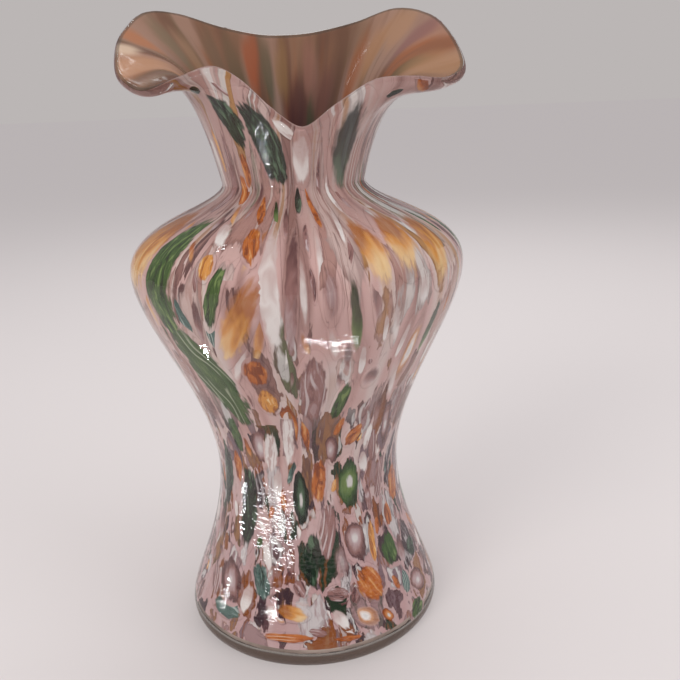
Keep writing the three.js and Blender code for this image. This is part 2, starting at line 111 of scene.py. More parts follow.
# Chips: name, azimuth in degrees, height up the wall, length and width in mm, lean in degrees, bow in mm,
# kind of glass, and what shows inside it
CHIPS = (
    ("green_neck_edge", 226, 261, 26, 8, -28, 2, "dark_green", "plain"),
    ("green_neck_left", 248, 251, 40, 10, -19, 3, "dark_green", "plain"),
    ("orange_neck_left", 231, 241, 15, 3.5, -3, 1, "orange", "plain"),
    ("white_neck", 276, 245.5, 21, 6.5, -2, 0, "white", "fading"),
    ("green_neck_right", 312, 250, 40, 11, 3, -3, "dark_green", "misty"),
    ("green_crescent", 225, 184, 59, 15.5, -1, -7, "green", "plain"),
    ("green_tail", 231.5, 136, 54, 17, -20, 0, "green", "striped"),
    ("amber_shoulder", 203, 194, 48, 24, -3, -3, "amber", "fading"),
    ("white_left_shoulder", 238, 204, 16, 5, -21, 0, "white", "fading"),
    ("amber_oval_left", 239.5, 187, 11, 6, -6, 0, "amber", "plain"),
    ("green_feather_left", 243, 175, 26, 6, 18, 0, "green", "plain"),
    ("orange_chest", 253, 199, 20, 6, -10, 0, "orange", "plain"),
    ("amber_chest", 250, 165, 43, 11, 30, 0, "amber", "misty"),
    ("orange_waist_left", 252, 141, 14, 9, 5, 0, "orange", "plain"),
    ("amber_waist_left", 254, 125, 13, 8, -5, 0, "amber", "plain"),
    ("white_chest", 261, 178, 58, 7.5, -2, 0, "white", "fading"),
    ("mauve_chest", 267.5, 178, 60, 4.5, 4, 0, "mauve", "fading"),
    ("mauve_teardrop", 279, 176, 22, 6.5, 0, 0, "mauve", "hazy"),
    ("green_sliver_right", 287, 165, 35, 4.5, -8, 0, "green", "misty"),
    ("amber_shoulder_right_front", 296, 194, 36, 11, -3, 0, "amber", "misty"),
    ("amber_shoulder_right", 310, 197, 35, 13, 13, 0, "amber", "misty"),
    ("amber_shoulder_far_right", 325, 191, 36, 13, 16, 0, "amber", "misty"),
    ("white_shoulder_right", 312, 172, 14, 5, 0, 0, "white", "soft"),
    ("mauve_fan", 273, 130, 36, 10, 2, 0, "mauve", "striped"),
    ("green_leaf_right", 285, 122, 21, 5.5, 13, 0, "green", "plain"),
    ("white_oval_front", 260, 103, 27, 4.5, 5, 0, "white", "plain"),
    ("white_oval_left", 249, 95, 22, 5.5, 8, 0, "white", "plain"),
    ("orange_yellow_right", 295, 102, 12, 6, 31, 0, "orange", "plain"),
    ("orange_oval", 275, 80, 24, 6, 3, 0, "orange", "plain"),
    ("green_ringed_oval", 294, 76, 25, 9, -2, 0, "green", "ringed"),
    ("green_oval_front", 264, 72, 26, 6, 0, 0, "dark_green", "ringed"),
    ("green_oval_hip", 269, 43, 25, 7.5, 3, 0, "dark_green", "plain"),
    ("green_oval_left", 229, 64, 40, 9, 3, 0, "dark_green", "plain"),
    ("green_waist_left", 229, 102, 20, 5.5, 4, 0, "green", "plain"),
    ("orange_side_right", 335, 65, 19, 9, 5, 0, "orange", "plain"),
    ("green_oval_right", 317, 37, 16, 9, 3, 0, "green", "plain"),
    ("mauve_oval_right", 295, 48, 18, 9.5, -4, 0, "mauve", "ringed"),
    ("orange_hip", 299, 27, 17, 11, -27, 0, "orange", "plain"),
    ("white_hip_right", 294, 13, 12, 7, -55, 0, "white", "ringed"),
    ("white_hip", 281, 15, 11, 5, -37, 0, "white", "fading"),
    ("mauve_hip", 281, 26, 10, 6, -79, 0, "mauve", "plain"),
    ("amber_hip", 258, 19, 15, 6.5, -83, 0, "amber", "fading"),
    ("teal_hip", 241, 31, 17, 7.5, -19, 0, "teal", "plain"),
    ("mauve_hip_left", 221, 26, 20, 13, -18, 0, "mauve", "ringed"),
    ("green_neck_back", 75, 252, 38, 7, 8, 0, "dark_green", "plain"),
    ("orange_neck_back", 128, 256, 34, 5, -6, 0, "orange", "plain"),
    ("green_side_right", 350, 180, 44, 8, 4, 0, "green", "plain"),
    ("orange_shoulder_right_back", 13, 190, 36, 10, -6, 0, "orange", "fading"),
    ("mauve_fan_right_back", 28, 128, 30, 9, 4, 0, "mauve", "striped"),
    ("amber_shoulder_back", 58, 196, 36, 12, 5, 0, "amber", "soft"),
    ("green_crescent_back", 81, 180, 48, 9, -3, 6, "green", "plain"),
    ("white_streak_back", 108, 190, 34, 6, 4, 0, "white", "soft"),
    ("amber_shoulder_left_back", 143, 192, 34, 12, 6, 0, "amber", "fading"),
    ("green_side_left", 178, 182, 40, 8, -3, 0, "green", "plain"),
    ("orange_oval_back", 66, 84, 22, 7, 4, 0, "orange", "plain"),
    ("green_oval_back", 104, 70, 32, 8, -4, 0, "dark_green", "ringed"),
    ("mauve_hip_right_back", 42, 32, 20, 12, -15, 0, "mauve", "ringed"),
    ("teal_hip_left_back", 152, 36, 20, 10, 20, 0, "teal", "plain"),
)

# More chips that the photograph shows: azimuth, height up the wall, length, width, lean, kind of glass, and
# what shows inside it, as above
PLACED_CHIPS = (
    (199, 174, 11, 6, -35, "dark_green", "plain"),
    (199, 186, 12, 9.5, -11, "white", "soft"),
    (265, 153, 16, 3, 11, "white", "fading"),
    (322, 153, 28, 4.5, 4, "green", "fading"),
    (297, 134, 10.5, 8, 11, "mauve", "soft"),
    (262, 113, 21, 6, -8, "orange", "ringed"),
    (244, 99, 22.5, 9.5, 8, "mauve", "ringed"),
    (210, 77, 35.5, 7.5, 11, "dark_green", "plain"),
    (253, 17, 5.5, 6.5, 39, "white", "ringed"),
    (262, 30, 8, 5.5, -23, "mauve", "plain"),
    (323, 3, 11.5, 9.5, 56, "green", "plain"),
    (331, 14, 10.5, 14, 45, "mauve", "ringed"),
    (323, 52, 11.5, 6, 4, "orange", "plain"),
    (313, 268, 10, 3, 44, "orange", "plain"),
    (240, 161, 16, 4.5, 4, "teal", "striped"),
    (295, 143, 3, 2, -14, "mauve", "plain"),
    (250, 77, 20, 4.5, 5, "white", "fading"),
    (253, 70, 12, 3.5, -6, "orange", "ringed"),
    (283, 96, 15, 5.5, -5, "mauve", "ringed"),
    (297, 102, 11, 5, -27, "amber", "plain"),
    (310, 92, 19.5, 5, -10, "mauve", "striped"),
    (279, 55, 26, 8, 7, "mauve", "striped"),
    (306, 45, 20, 4, 4, "amber", "plain"),
    (337, 29, 10, 9, 41, "dark_green", "plain"),
    (283, 25, 8, 6.5, -5, "mauve", "ringed"),
    (290, 24, 8, 5, 25, "mauve", "plain"),
    (255, 20, 21, 6.5, 75, "white", "fading"),
    (256, 8, 24.5, 4, -91, "orange", "striped"),
    (280, 14, 15.5, 3.5, -42, "white", "plain"),
    (283, 6, 13, 2.5, -85, "orange", "plain"),
    (222, 13, 19, 9, -94, "teal", "striped"),
    (222, 83, 17, 5, 8, "orange", "plain"),
    (286, 108, 10, 3.5, 19, "orange", "plain"),
    (305, 98, 14.5, 4, 2, "white", "plain"),
    (269, 105, 16.5, 3.5, -5, "orange", "plain"),
    (209, 22, 15, 8, -20, "mauve", "striped"),
    (263, 62, 19.5, 3, 7, "white", "fading"),
    (243, 43, 14.5, 4, -16, "white", "striped"),
    (256, 42, 16.5, 3.5, -9, "mauve", "plain"),
    (318, 73, 22, 5, 8, "mauve", "striped"),
    (300, 52, 14.5, 3, 1, "orange", "fading"),
    (244, 120, 18.5, 4, 10, "mauve", "plain"),
    (268, 132, 18.5, 3.5, 7, "mauve", "fading"),
    (288, 130, 11, 4, 13, "mauve", "soft"),
    (307, 113, 23.5, 4.5, -6, "mauve", "soft"),
    (310, 129, 25, 4.5, -15, "white", "soft"),
    (280, 155, 15, 4, -10, "white", "soft"),
    (302, 160, 21, 4.5, -8, "white", "soft"),
    (294, 171, 23.5, 5, -9, "mauve", "soft"),
    (271, 178, 29.5, 3.5, -1, "white", "soft"),
    (277, 190, 30.5, 3, 4, "white", "soft"),
    (290, 199, 27.5, 2.5, 17, "mauve", "plain"),
    (289, 209, 24.5, 2, 7, "white", "fading"),
    (315, 216, 15.5, 3.5, 10, "white", "soft"),
    (218, 186, 30, 4.5, -22, "white", "soft"),
    (229, 195, 19, 3, -33, "orange", "soft"),
    (250, 220, 18.5, 3.5, -12, "orange", "plain"),
    (265, 212, 21.5, 2, -3, "mauve", "fading"),
    (259, 219, 17, 2, -10, "green", "fading"),
    (235, 217, 19, 3, -18, "amber", "soft"),
    (221, 156, 22, 13, -14, "green", "striped"),
    (229, 165, 20, 7, -16, "teal", "striped"),
    (266, 257, 14, 4, -55, "white", "plain"),
    (272, 226, 16, 3, 2, "dark_green", "plain"),
    (327, 276, 8, 3, 40, "dark_green", "plain"),
    (337, 285.8, 5, 9, 0, "orange", "fading"),
    (349, 294, 8, 8, 10, "white", "plain"),
    (355, 298.8, 3.5, 4, 0, "dark_green", "plain"),
    (212, 277, 5, 5, -30, "dark_green", "plain"),
    (228, 274, 9, 1.5, -45, "mauve", "plain"),
    (240, 268, 10, 1.4, -45, "mauve", "plain"),
    (250, 262, 9, 1.3, -40, "mauve", "plain"),
    (229, 232, 16, 4.5, -12, "orange", "plain"),
    (285, 40, 20, 8, 4, "mauve", "hazy"),
    (256, 158, 28, 5, 18, "amber", "soft"),
    (247, 146, 26, 4.5, 26, "white", "soft"),
    (244, 176, 30, 4, 28, "white", "soft"),
    (255, 196, 26, 4, 12, "amber", "soft"),
    (214, 205, 26, 5, -28, "amber", "soft"),
    (212, 170, 26, 5, -8, "amber", "soft"),
)

# Each kind of coloured glass: its deep, main and pale colours
KINDS = {
    "amber": (tone(148, 84, 36), tone(198, 134, 62), tone(220, 188, 140)),
    "orange": (tone(120, 56, 24), tone(170, 92, 38), tone(196, 138, 86)),
    "green": (tone(24, 42, 18), tone(52, 80, 34), tone(104, 124, 70)),
    "dark_green": (tone(6, 14, 8), tone(19, 37, 23), tone(76, 98, 76)),
    "white": (tone(182, 158, 154), tone(212, 203, 200), tone(220, 214, 211)),
    "mauve": (tone(84, 52, 52), tone(136, 97, 93), tone(178, 156, 157)),
    "teal": (tone(34, 54, 50), tone(68, 94, 88), tone(142, 158, 152)),
}

# The pink of the ground, the milky white in rings and stripes, and the outer rings of white chips
GROUND = tone(186, 150, 145)
MILK = tone(204, 198, 196)
WHITE_RINGS = (tone(190, 130, 82), tone(150, 92, 56))

# What shows inside a chip: how far it is ringed, striped and fading
STYLES = {
    "plain": (0, 0, 0),
    "ringed": (1, 0, 0),
    "striped": (0, 1, 0),
    "fading": (0, 0, 1),
    "soft": (0, 0, 1),
    "misty": (0, 0, 1),
    "hazy": (0.55, 0.3, 0.3),
}

# How far a chip's rim melts into the ground
MELT = {
    "plain": 0.18,
    "ringed": 0.1,
    "striped": 0.16,
    "fading": 0.3,
    "soft": 0.75,
    "misty": 0.45,
    "hazy": 0.8,
}

# A chip's coloured part ends at this share of the way to its piece's edge, and the rest is ground
RIM = 0.8

# How much wider than in their rows the large chips are, and how deep in the glass, in mm, the front, middle
# and back of large and small chips lie
CHIP_BREADTH = 1.12
CHIP_DEPTHS = (2.0, 2.75, 3.3)
SMALL_DEPTHS = (2.5, 2.85, 3.2)

# Segments and rings of the spheres that chips are bent from, and how far apart the grains of two chips lie in
# their noise
CHIP_DETAIL = (24, 30)
SMALL_DETAIL = (10, 12)
GRAIN_STEP = 7.7

# Small chips are scattered in turns: how many are tried, how wide they are, and how much crowding they bear
SCATTER = ((200, 1.4, 0.06), (500, 1.0, 0.06), (900, 0.65, 0.05))
SCATTER_SEED = 41
FIRST_SMALL_GRAIN = 100

# How the widths and the drawing of small chips vary, as shares, and their bow and greatest length in mm
WIDTHS_FROM_TO = (0.75, 1.25)
DRAWING_FROM_TO = (0.85, 1.7)
SMALL_BOW = 0.4
LONGEST_SMALL = 46.0

# Clear ground round the placed and round the scattered chips, in mm
PLACED_MARGIN = 0.6
SCATTERED_MARGIN = 0.3

# How far from the lip small chips end, how far from the foot and from that end their middles keep, and how
# far their own ends keep from both, in mm
LIP_CLEARANCE = 4.0
MIDDLES_FROM_ENDS = (3, 2)
ENDS_FROM_ENDS = (1, 0.5)

# Sizes and odds of the small chips at heights up the wall in mm: width, spread of their lean in degrees, and
# kinds
SMALL_AT = (0, 60, 120, 180, 225, 300)
SMALL_WIDTH = (6.5, 4.6, 4.0, 4.0, 2.6, 3.4)
SMALL_LEAN = (40, 12, 8, 5, 3, 6)
SMALL_KINDS = {
    "mauve": (34, 34, 34, 34, 30, 26),
    "white": (16, 16, 24, 26, 18, 14),
    "amber": (6, 8, 4, 10, 10, 12),
    "orange": (10, 10, 3, 5, 8, 8),
    "green": (7, 6, 1, 3, 5, 5),
    "dark_green": (6, 6, 1, 2, 4, 4),
    "teal": (6, 4, 0, 1, 1, 1),
}

# What shows inside the small chips, and its odds at heights up the wall
SMALL_STYLES = ("plain", "ringed", "striped", "fading", "soft")
SMALL_STYLE_ODDS = {0: (3, 4, 2, 1, 0), 100: (3, 2, 2, 3, 2), 170: (2, 0, 1, 4, 5), 260: (3, 0, 1, 4, 3)}

# Colours of the ground's own melted patches, near the foot and from the waist up
LOW_PATCHES = ((0.0, tone(118, 94, 100)), (0.16, tone(86, 58, 62)), (0.28, tone(186, 176, 176)),
               (0.4, tone(138, 96, 66)), (0.52, tone(58, 38, 44)), (0.64, tone(146, 116, 116)),
               (0.78, tone(128, 70, 34)), (0.94, tone(34, 48, 32)))
HIGH_PATCHES = ((0.0, tone(184, 158, 152)), (0.22, tone(160, 122, 114)), (0.4, tone(134, 98, 92)),
                (0.54, tone(192, 180, 176)), (0.68, tone(168, 132, 122)), (0.8, tone(98, 70, 68)),
                (0.88, tone(160, 116, 74)), (0.95, tone(98, 98, 72)))

# Soft bands inside the collar: where each lies in the noise, its colour, and its strength
INSIDE_BANDS = (
    ((31, 3, 11), tone(58, 62, 46), 0.85),
    ((3, 41, 7), tone(66, 38, 38), 0.85),
    ((17, 23, 51), tone(138, 70, 32), 0.75),
    ((9, 61, 37), tone(158, 130, 118), 0.6),
)

# Soft streaks inside the collar: azimuth, height up the wall, half width and half length in mm, colour, and
# strength. The pattern inside is another stretch of the same noise, this far along X.
INSIDE_SHIFT = 200
INSIDE_STREAKS = (
    (85, 262, 9, 22, tone(70, 40, 42), 0.9), (66, 272, 7, 20, tone(88, 56, 54), 0.8),
    (103, 280, 4, 24, tone(66, 72, 58), 0.9), (94, 284, 4, 18, tone(128, 98, 62), 0.7),
    (111, 290, 4, 16, tone(140, 64, 34), 0.9), (120, 284, 5, 22, tone(66, 64, 50), 0.85),
    (130, 292, 4, 24, tone(78, 68, 56), 0.85), (75, 284, 5, 18, tone(138, 94, 86), 0.6),
    (47, 282, 5, 22, tone(132, 70, 36), 0.75), (38, 292, 5, 16, tone(150, 108, 72), 0.7),
    (18, 302, 3, 16, tone(112, 76, 84), 0.8), (5, 288, 3, 13, tone(48, 58, 42), 0.9),
    (359, 296, 8, 18, tone(160, 120, 84), 0.6), (152, 300, 4, 22, tone(88, 86, 68), 0.85),
    (144, 290, 4, 22, tone(150, 118, 92), 0.6), (164, 308, 4, 16, tone(162, 96, 56), 0.8),
    (174, 306, 4, 9, tone(206, 184, 162), 0.9), (184, 300, 7, 18, tone(176, 132, 100), 0.7),
    (30, 304, 7, 12, tone(160, 122, 92), 0.6),
)


# The wall's shape

class Wall:
    """The vase's wall in millimetres: points by azimuth in degrees, place on its curves, and depth in the
    glass."""

    def __init__(self, sizes):
        self.thickness = sizes.wall / MM
        half = self.thickness / 2
        self.half = half
        foot = np.array((sizes.foot_radius / MM - half, sizes.foot_edge / MM))
        waist = np.array((sizes.waist_radius / MM - half, sizes.waist_height / MM))
        shoulder = np.array((sizes.shoulder_radius / MM - half, sizes.shoulder_height / MM))
        self.neck = np.array((sizes.neck_radius / MM - half, sizes.neck_height / MM))
        lean = math.radians(NECK_LEAN)
        self.neck_way = np.array((math.sin(lean), math.cos(lean)))
        up = np.array((0.0, 1.0))
        self.curves = (
            (foot, foot + FOOT_PULL, waist - WAIST_PULL_DOWN * up, waist),
            (waist, waist + WAIST_PULL_UP * up, shoulder - SHOULDER_PULL * up, shoulder),
            (shoulder, shoulder + SHOULDER_PULL * up, self.neck - NECK_PULL * self.neck_way, self.neck),
        )
        self.shares = np.linspace(0, 1, BODY_STEPS)
        self.lengths = [self.run(self.bezier(curve, self.shares)) for curve in self.curves]

    @staticmethod
    def bezier(curve, share):
        """Points at shares of a curve with four control points."""
        share = np.asarray(share)[..., None]
        rest = 1 - share
        return (rest ** 3 * curve[0] + 3 * rest ** 2 * share * curve[1]
                + 3 * rest * share ** 2 * curve[2] + share ** 3 * curve[3])

    @staticmethod
    def run(points):
        """The distance along points from the first."""
        steps = np.linalg.norm(np.diff(points, axis=-2), axis=-1)
        return np.concatenate((np.zeros(steps.shape[:-1] + (1,)), np.cumsum(steps, axis=-1)), axis=-1)

    @staticmethod
    def ruffle(azimuth, field):
        """A value of the ruffle at any azimuth, on a smooth closed curve."""
        knots = np.array(RUFFLE["azimuth"], float)
        values = np.array(RUFFLE[field], float)
        count = len(knots)
        turned = np.mod(azimuth, FULL_TURN)
        following = np.searchsorted(knots, turned, side="right")

        def knot(index):
            lap = np.floor_divide(index, count)
            return knots[index - lap * count] + lap * FULL_TURN, values[index - lap * count]

        near = [knot(following + step) for step in (-2, -1, 0, 1)]
        (at0, value0), (at1, value1), (at2, value2), (at3, value3) = near
        share = (turned - at1) / (at2 - at1)
        slope1 = (value2 - value0) / (at2 - at0) * (at2 - at1)
        slope2 = (value3 - value1) / (at3 - at1) * (at2 - at1)
        share2, share3 = share ** 2, share ** 3
        return ((2 * share3 - 3 * share2 + 1) * value1 + (share3 - 2 * share2 + share) * slope1
                + (3 * share2 - 2 * share3) * value2 + (share3 - share2) * slope2)

    def collar(self, azimuth, share):
        """Radius and height of the wall's middle at a share of the way from the neck to the lip."""
        spread, rise, flare, climb, roll = (
            self.ruffle(azimuth, field) for field in ("spread", "rise", "flare", "climb", "roll"))
        lip = self.neck + np.stack((spread, rise), -1)
        way = np.stack((np.cos(np.radians(flare)), np.sin(np.radians(flare))), -1)
        curve = (self.neck, self.neck + self.neck_way * climb[..., None], lip - way * roll[..., None], lip)
        return self.bezier(curve, share)

    def line(self, azimuth, place):
        """Radius and height of the wall's middle."""
        azimuth, place = np.broadcast_arrays(np.asarray(azimuth, float), np.asarray(place, float))
        flat = np.zeros(place.shape + (2,))
        for index, curve in enumerate(self.curves):
            own = (place < index + 1) & ((place >= index) | (index == 0))
            flat[own] = self.bezier(curve, place[own] - index)
        own = place >= NECK_PLACE
        if own.any():
            flat[own] = self.collar(azimuth[own], place[own] - NECK_PLACE)
        return flat

    def middle(self, azimuth, place):
        """A point of the wall's middle."""
        flat = self.line(azimuth, place)
        turn = np.radians(np.broadcast_to(azimuth, flat.shape[:-1]))
        return np.stack((flat[..., 0] * np.cos(turn), flat[..., 0] * np.sin(turn), flat[..., 1]), -1)

    def directions(self, azimuth, place):
        """Up along the wall, and square out of it."""
        azimuth, place = np.asarray(azimuth, float), np.asarray(place, float)
        low = np.minimum(place, LIP_PLACE - PROBE)
        along = self.middle(azimuth, low + PROBE) - self.middle(azimuth, low)
        along /= np.linalg.norm(along, axis=-1, keepdims=True)
        around = self.middle(azimuth + PROBE, place) - self.middle(azimuth - PROBE, place)
        outward = np.cross(around, along)
        return along, outward / np.linalg.norm(outward, axis=-1, keepdims=True)

    def point(self, azimuth, place, depth):
        """A point at a depth in the wall, from its outside in."""
        outward = self.directions(azimuth, place)[1]
        return self.middle(azimuth, place) + outward * (self.half - np.asarray(depth, float))[..., None]

    def in_lip(self, azimuth, depth, beyond):
        """A point inside the rounded lip, at a depth and at a distance past the end of the wall."""
        place = np.full_like(azimuth, LIP_PLACE)
        along, outward = self.directions(azimuth, place)
        return self.middle(azimuth, place) + outward * (self.half - depth) + along * beyond

    def lip_point(self, azimuth, turn):
        """A point of the half round lip, from the outside at 0 over the top to the inside at 180 degrees."""
        turn = math.radians(turn)
        return self.in_lip(azimuth, self.half * (1 - math.cos(turn)), self.half * math.sin(turn))

    def edge_place(self, azimuth, distance):
        """The place at a distance below the lip."""
        return LIP_PLACE - distance / (3 * self.ruffle(azimuth, "roll"))

    def place_at(self, azimuth, up):
        """The place at a height up the wall, along it from the foot's edge."""
        azimuth, up = np.broadcast_arrays(np.asarray(azimuth, float), np.asarray(up, float))
        place = np.zeros(up.shape)
        start = 0.0
        for index, lengths in enumerate(self.lengths):
            own = (up >= start) & (up <= start + lengths[-1])
            place[own] = index + np.interp(up[own] - start, lengths, self.shares)
            start += lengths[-1]
        own = up > start
        if own.any():
            shares = np.linspace(0, 1, COLLAR_STEPS)
            lengths = self.run(self.collar(np.repeat(azimuth[own][:, None], len(shares), 1), shares))
            left = np.minimum(up[own] - start, lengths[:, -1] - PROBE)
            step = np.argmax(lengths > left[:, None], axis=1)
            rows = np.arange(len(left))
            low, high = lengths[rows, step - 1], lengths[rows, step]
            place[own] = NECK_PLACE + shares[step - 1] + (left - low) / (high - low) * shares[1]
        return place

    def up_at(self, azimuth, place):
        """How far up the wall a place lies."""
        azimuth, place = np.broadcast_arrays(np.asarray(azimuth, float), np.asarray(place, float))
        up = np.zeros(place.shape)
        start = 0.0
        for index, lengths in enumerate(self.lengths):
            own = (place >= index) & (place < index + 1)
            up[own] = start + np.interp(place[own] - index, self.shares, lengths)
            start += lengths[-1]
        own = place >= NECK_PLACE
        if own.any():
            steps = np.linspace(0, 1, COLLAR_RUN_STEPS)
            shares = (place[own] - NECK_PLACE)[:, None] * steps
            points = self.collar(np.repeat(azimuth[own][:, None], COLLAR_RUN_STEPS, 1), shares)
            up[own] = start + self.run(points)[..., -1]
        return up


def drawn_height(up):
    """Height up the wall with the drawing of the glass taken out, so that what is round by this height is a
    long streak on the wall."""
    heights = np.linspace(DRAWN_AT[0], DRAWN_AT[-1], DRAWN_STEPS)
    steps = np.diff(heights) / np.interp(heights[1:], DRAWN_AT, DRAWN)
    return np.interp(up, heights, np.concatenate(((0,), np.cumsum(steps))))


def flow_at(azimuth, up):
    """Where a point of the wall lies in the pattern: on a plain cylinder, at its drawn height."""
    turn = np.radians(azimuth)
    return np.stack((PATTERN_RADIUS * np.cos(turn), PATTERN_RADIUS * np.sin(turn), drawn_height(up)), -1)


# Making pieces

def start_fresh():
    """Deselect everything, so that the next operator acts on its own piece alone."""
    bpy.ops.object.select_all(action="DESELECT")


def shape_numbers(mesh):
    """A mesh's vertices as rows of coordinates."""
    coordinates = np.empty(len(mesh.vertices) * 3)
    mesh.vertices.foreach_get("co", coordinates)
    return coordinates.reshape(-1, 3)


def give_attribute(mesh, name, kind, values):
    """Give a mesh's vertices numbers or vectors that its materials read."""
    attribute = mesh.attributes.new(name, kind, "POINT")
    key = "vector" if kind == "FLOAT_VECTOR" else "value"
    attribute.data.foreach_set(key, np.asarray(values, np.float32).ravel())


def sphere_shell(name, rings, underside, floor, segments):
    """A closed vessel: a sphere whose rings are slid out to those of the vessel, which run from the middle of
    the underside up the outside, over the lip and down the inside to the middle of the floor."""
    start_fresh()
    bpy.ops.mesh.primitive_uv_sphere_add(segments=segments, ring_count=len(rings) + 1, radius=1)
    piece = bpy.context.object
    piece.name = piece.data.name = name
    unit = shape_numbers(piece.data)
    row = np.rint((np.arcsin(np.clip(unit[:, 2], -1, 1)) / math.pi + 0.5) * (len(rings) + 1)).astype(int)
    azimuth = np.degrees(np.arctan2(unit[:, 1], unit[:, 0])) % FULL_TURN
    points = np.zeros_like(unit)
    points[row == 0] = (0, 0, underside)
    points[row == len(rings) + 1] = (0, 0, floor)
    for number, ring in enumerate(rings, 1):
        own = row == number
        points[own] = ring(azimuth[own])
    piece.data.vertices.foreach_set("co", (points * MM).ravel())
    piece.data.update()
    bpy.ops.object.shade_smooth()
    return piece, row, azimuth


def flat_ring(radius, height):
    """A level circle, as a function of azimuth."""
    def ring(azimuth):
        turn = np.radians(azimuth)
        return np.stack((radius * np.cos(turn), radius * np.sin(turn), np.full_like(turn, height)), -1)
    return ring


def corner_rings(wall, depth, floor, roundness, steps):
    """The rounded corner from the wall in to a floor, and the place where it leaves the wall."""
    places = np.linspace(0, 1, CORNER_SEARCH_STEPS)
    heights = wall.line(np.zeros(CORNER_SEARCH_STEPS), places)[:, 1]
    start = places[np.argmax(heights >= floor + roundness)]
    top = wall.point(np.zeros(1), np.full(1, start), depth)[0]
    rings = []
    for step in range(steps + 1):
        turn = step / steps * math.pi / 2
        rings.append(flat_ring(top[0] - roundness * (1 - math.cos(turn)),
                               top[2] - (top[2] - floor) * math.sin(turn)))
    return rings, start


def wall_rings(wall, depth, first, edge, counts):
    """Rings up the wall at a depth, from a place on the body to an edge at a distance below the lip: as many
    on the body and on the collar as counts says."""
    body = np.linspace(first, NECK_PLACE, counts[0], endpoint=False)
    rings = [(lambda azimuth, place=place: wall.point(azimuth, np.full_like(azimuth, place), depth))
             for place in body]
    for share in np.linspace(0, 1, counts[1]):
        rings.append(lambda azimuth, share=share: wall.point(
            azimuth, NECK_PLACE + share * (wall.edge_place(azimuth, edge) - NECK_PLACE), depth))
    return rings


# Materials

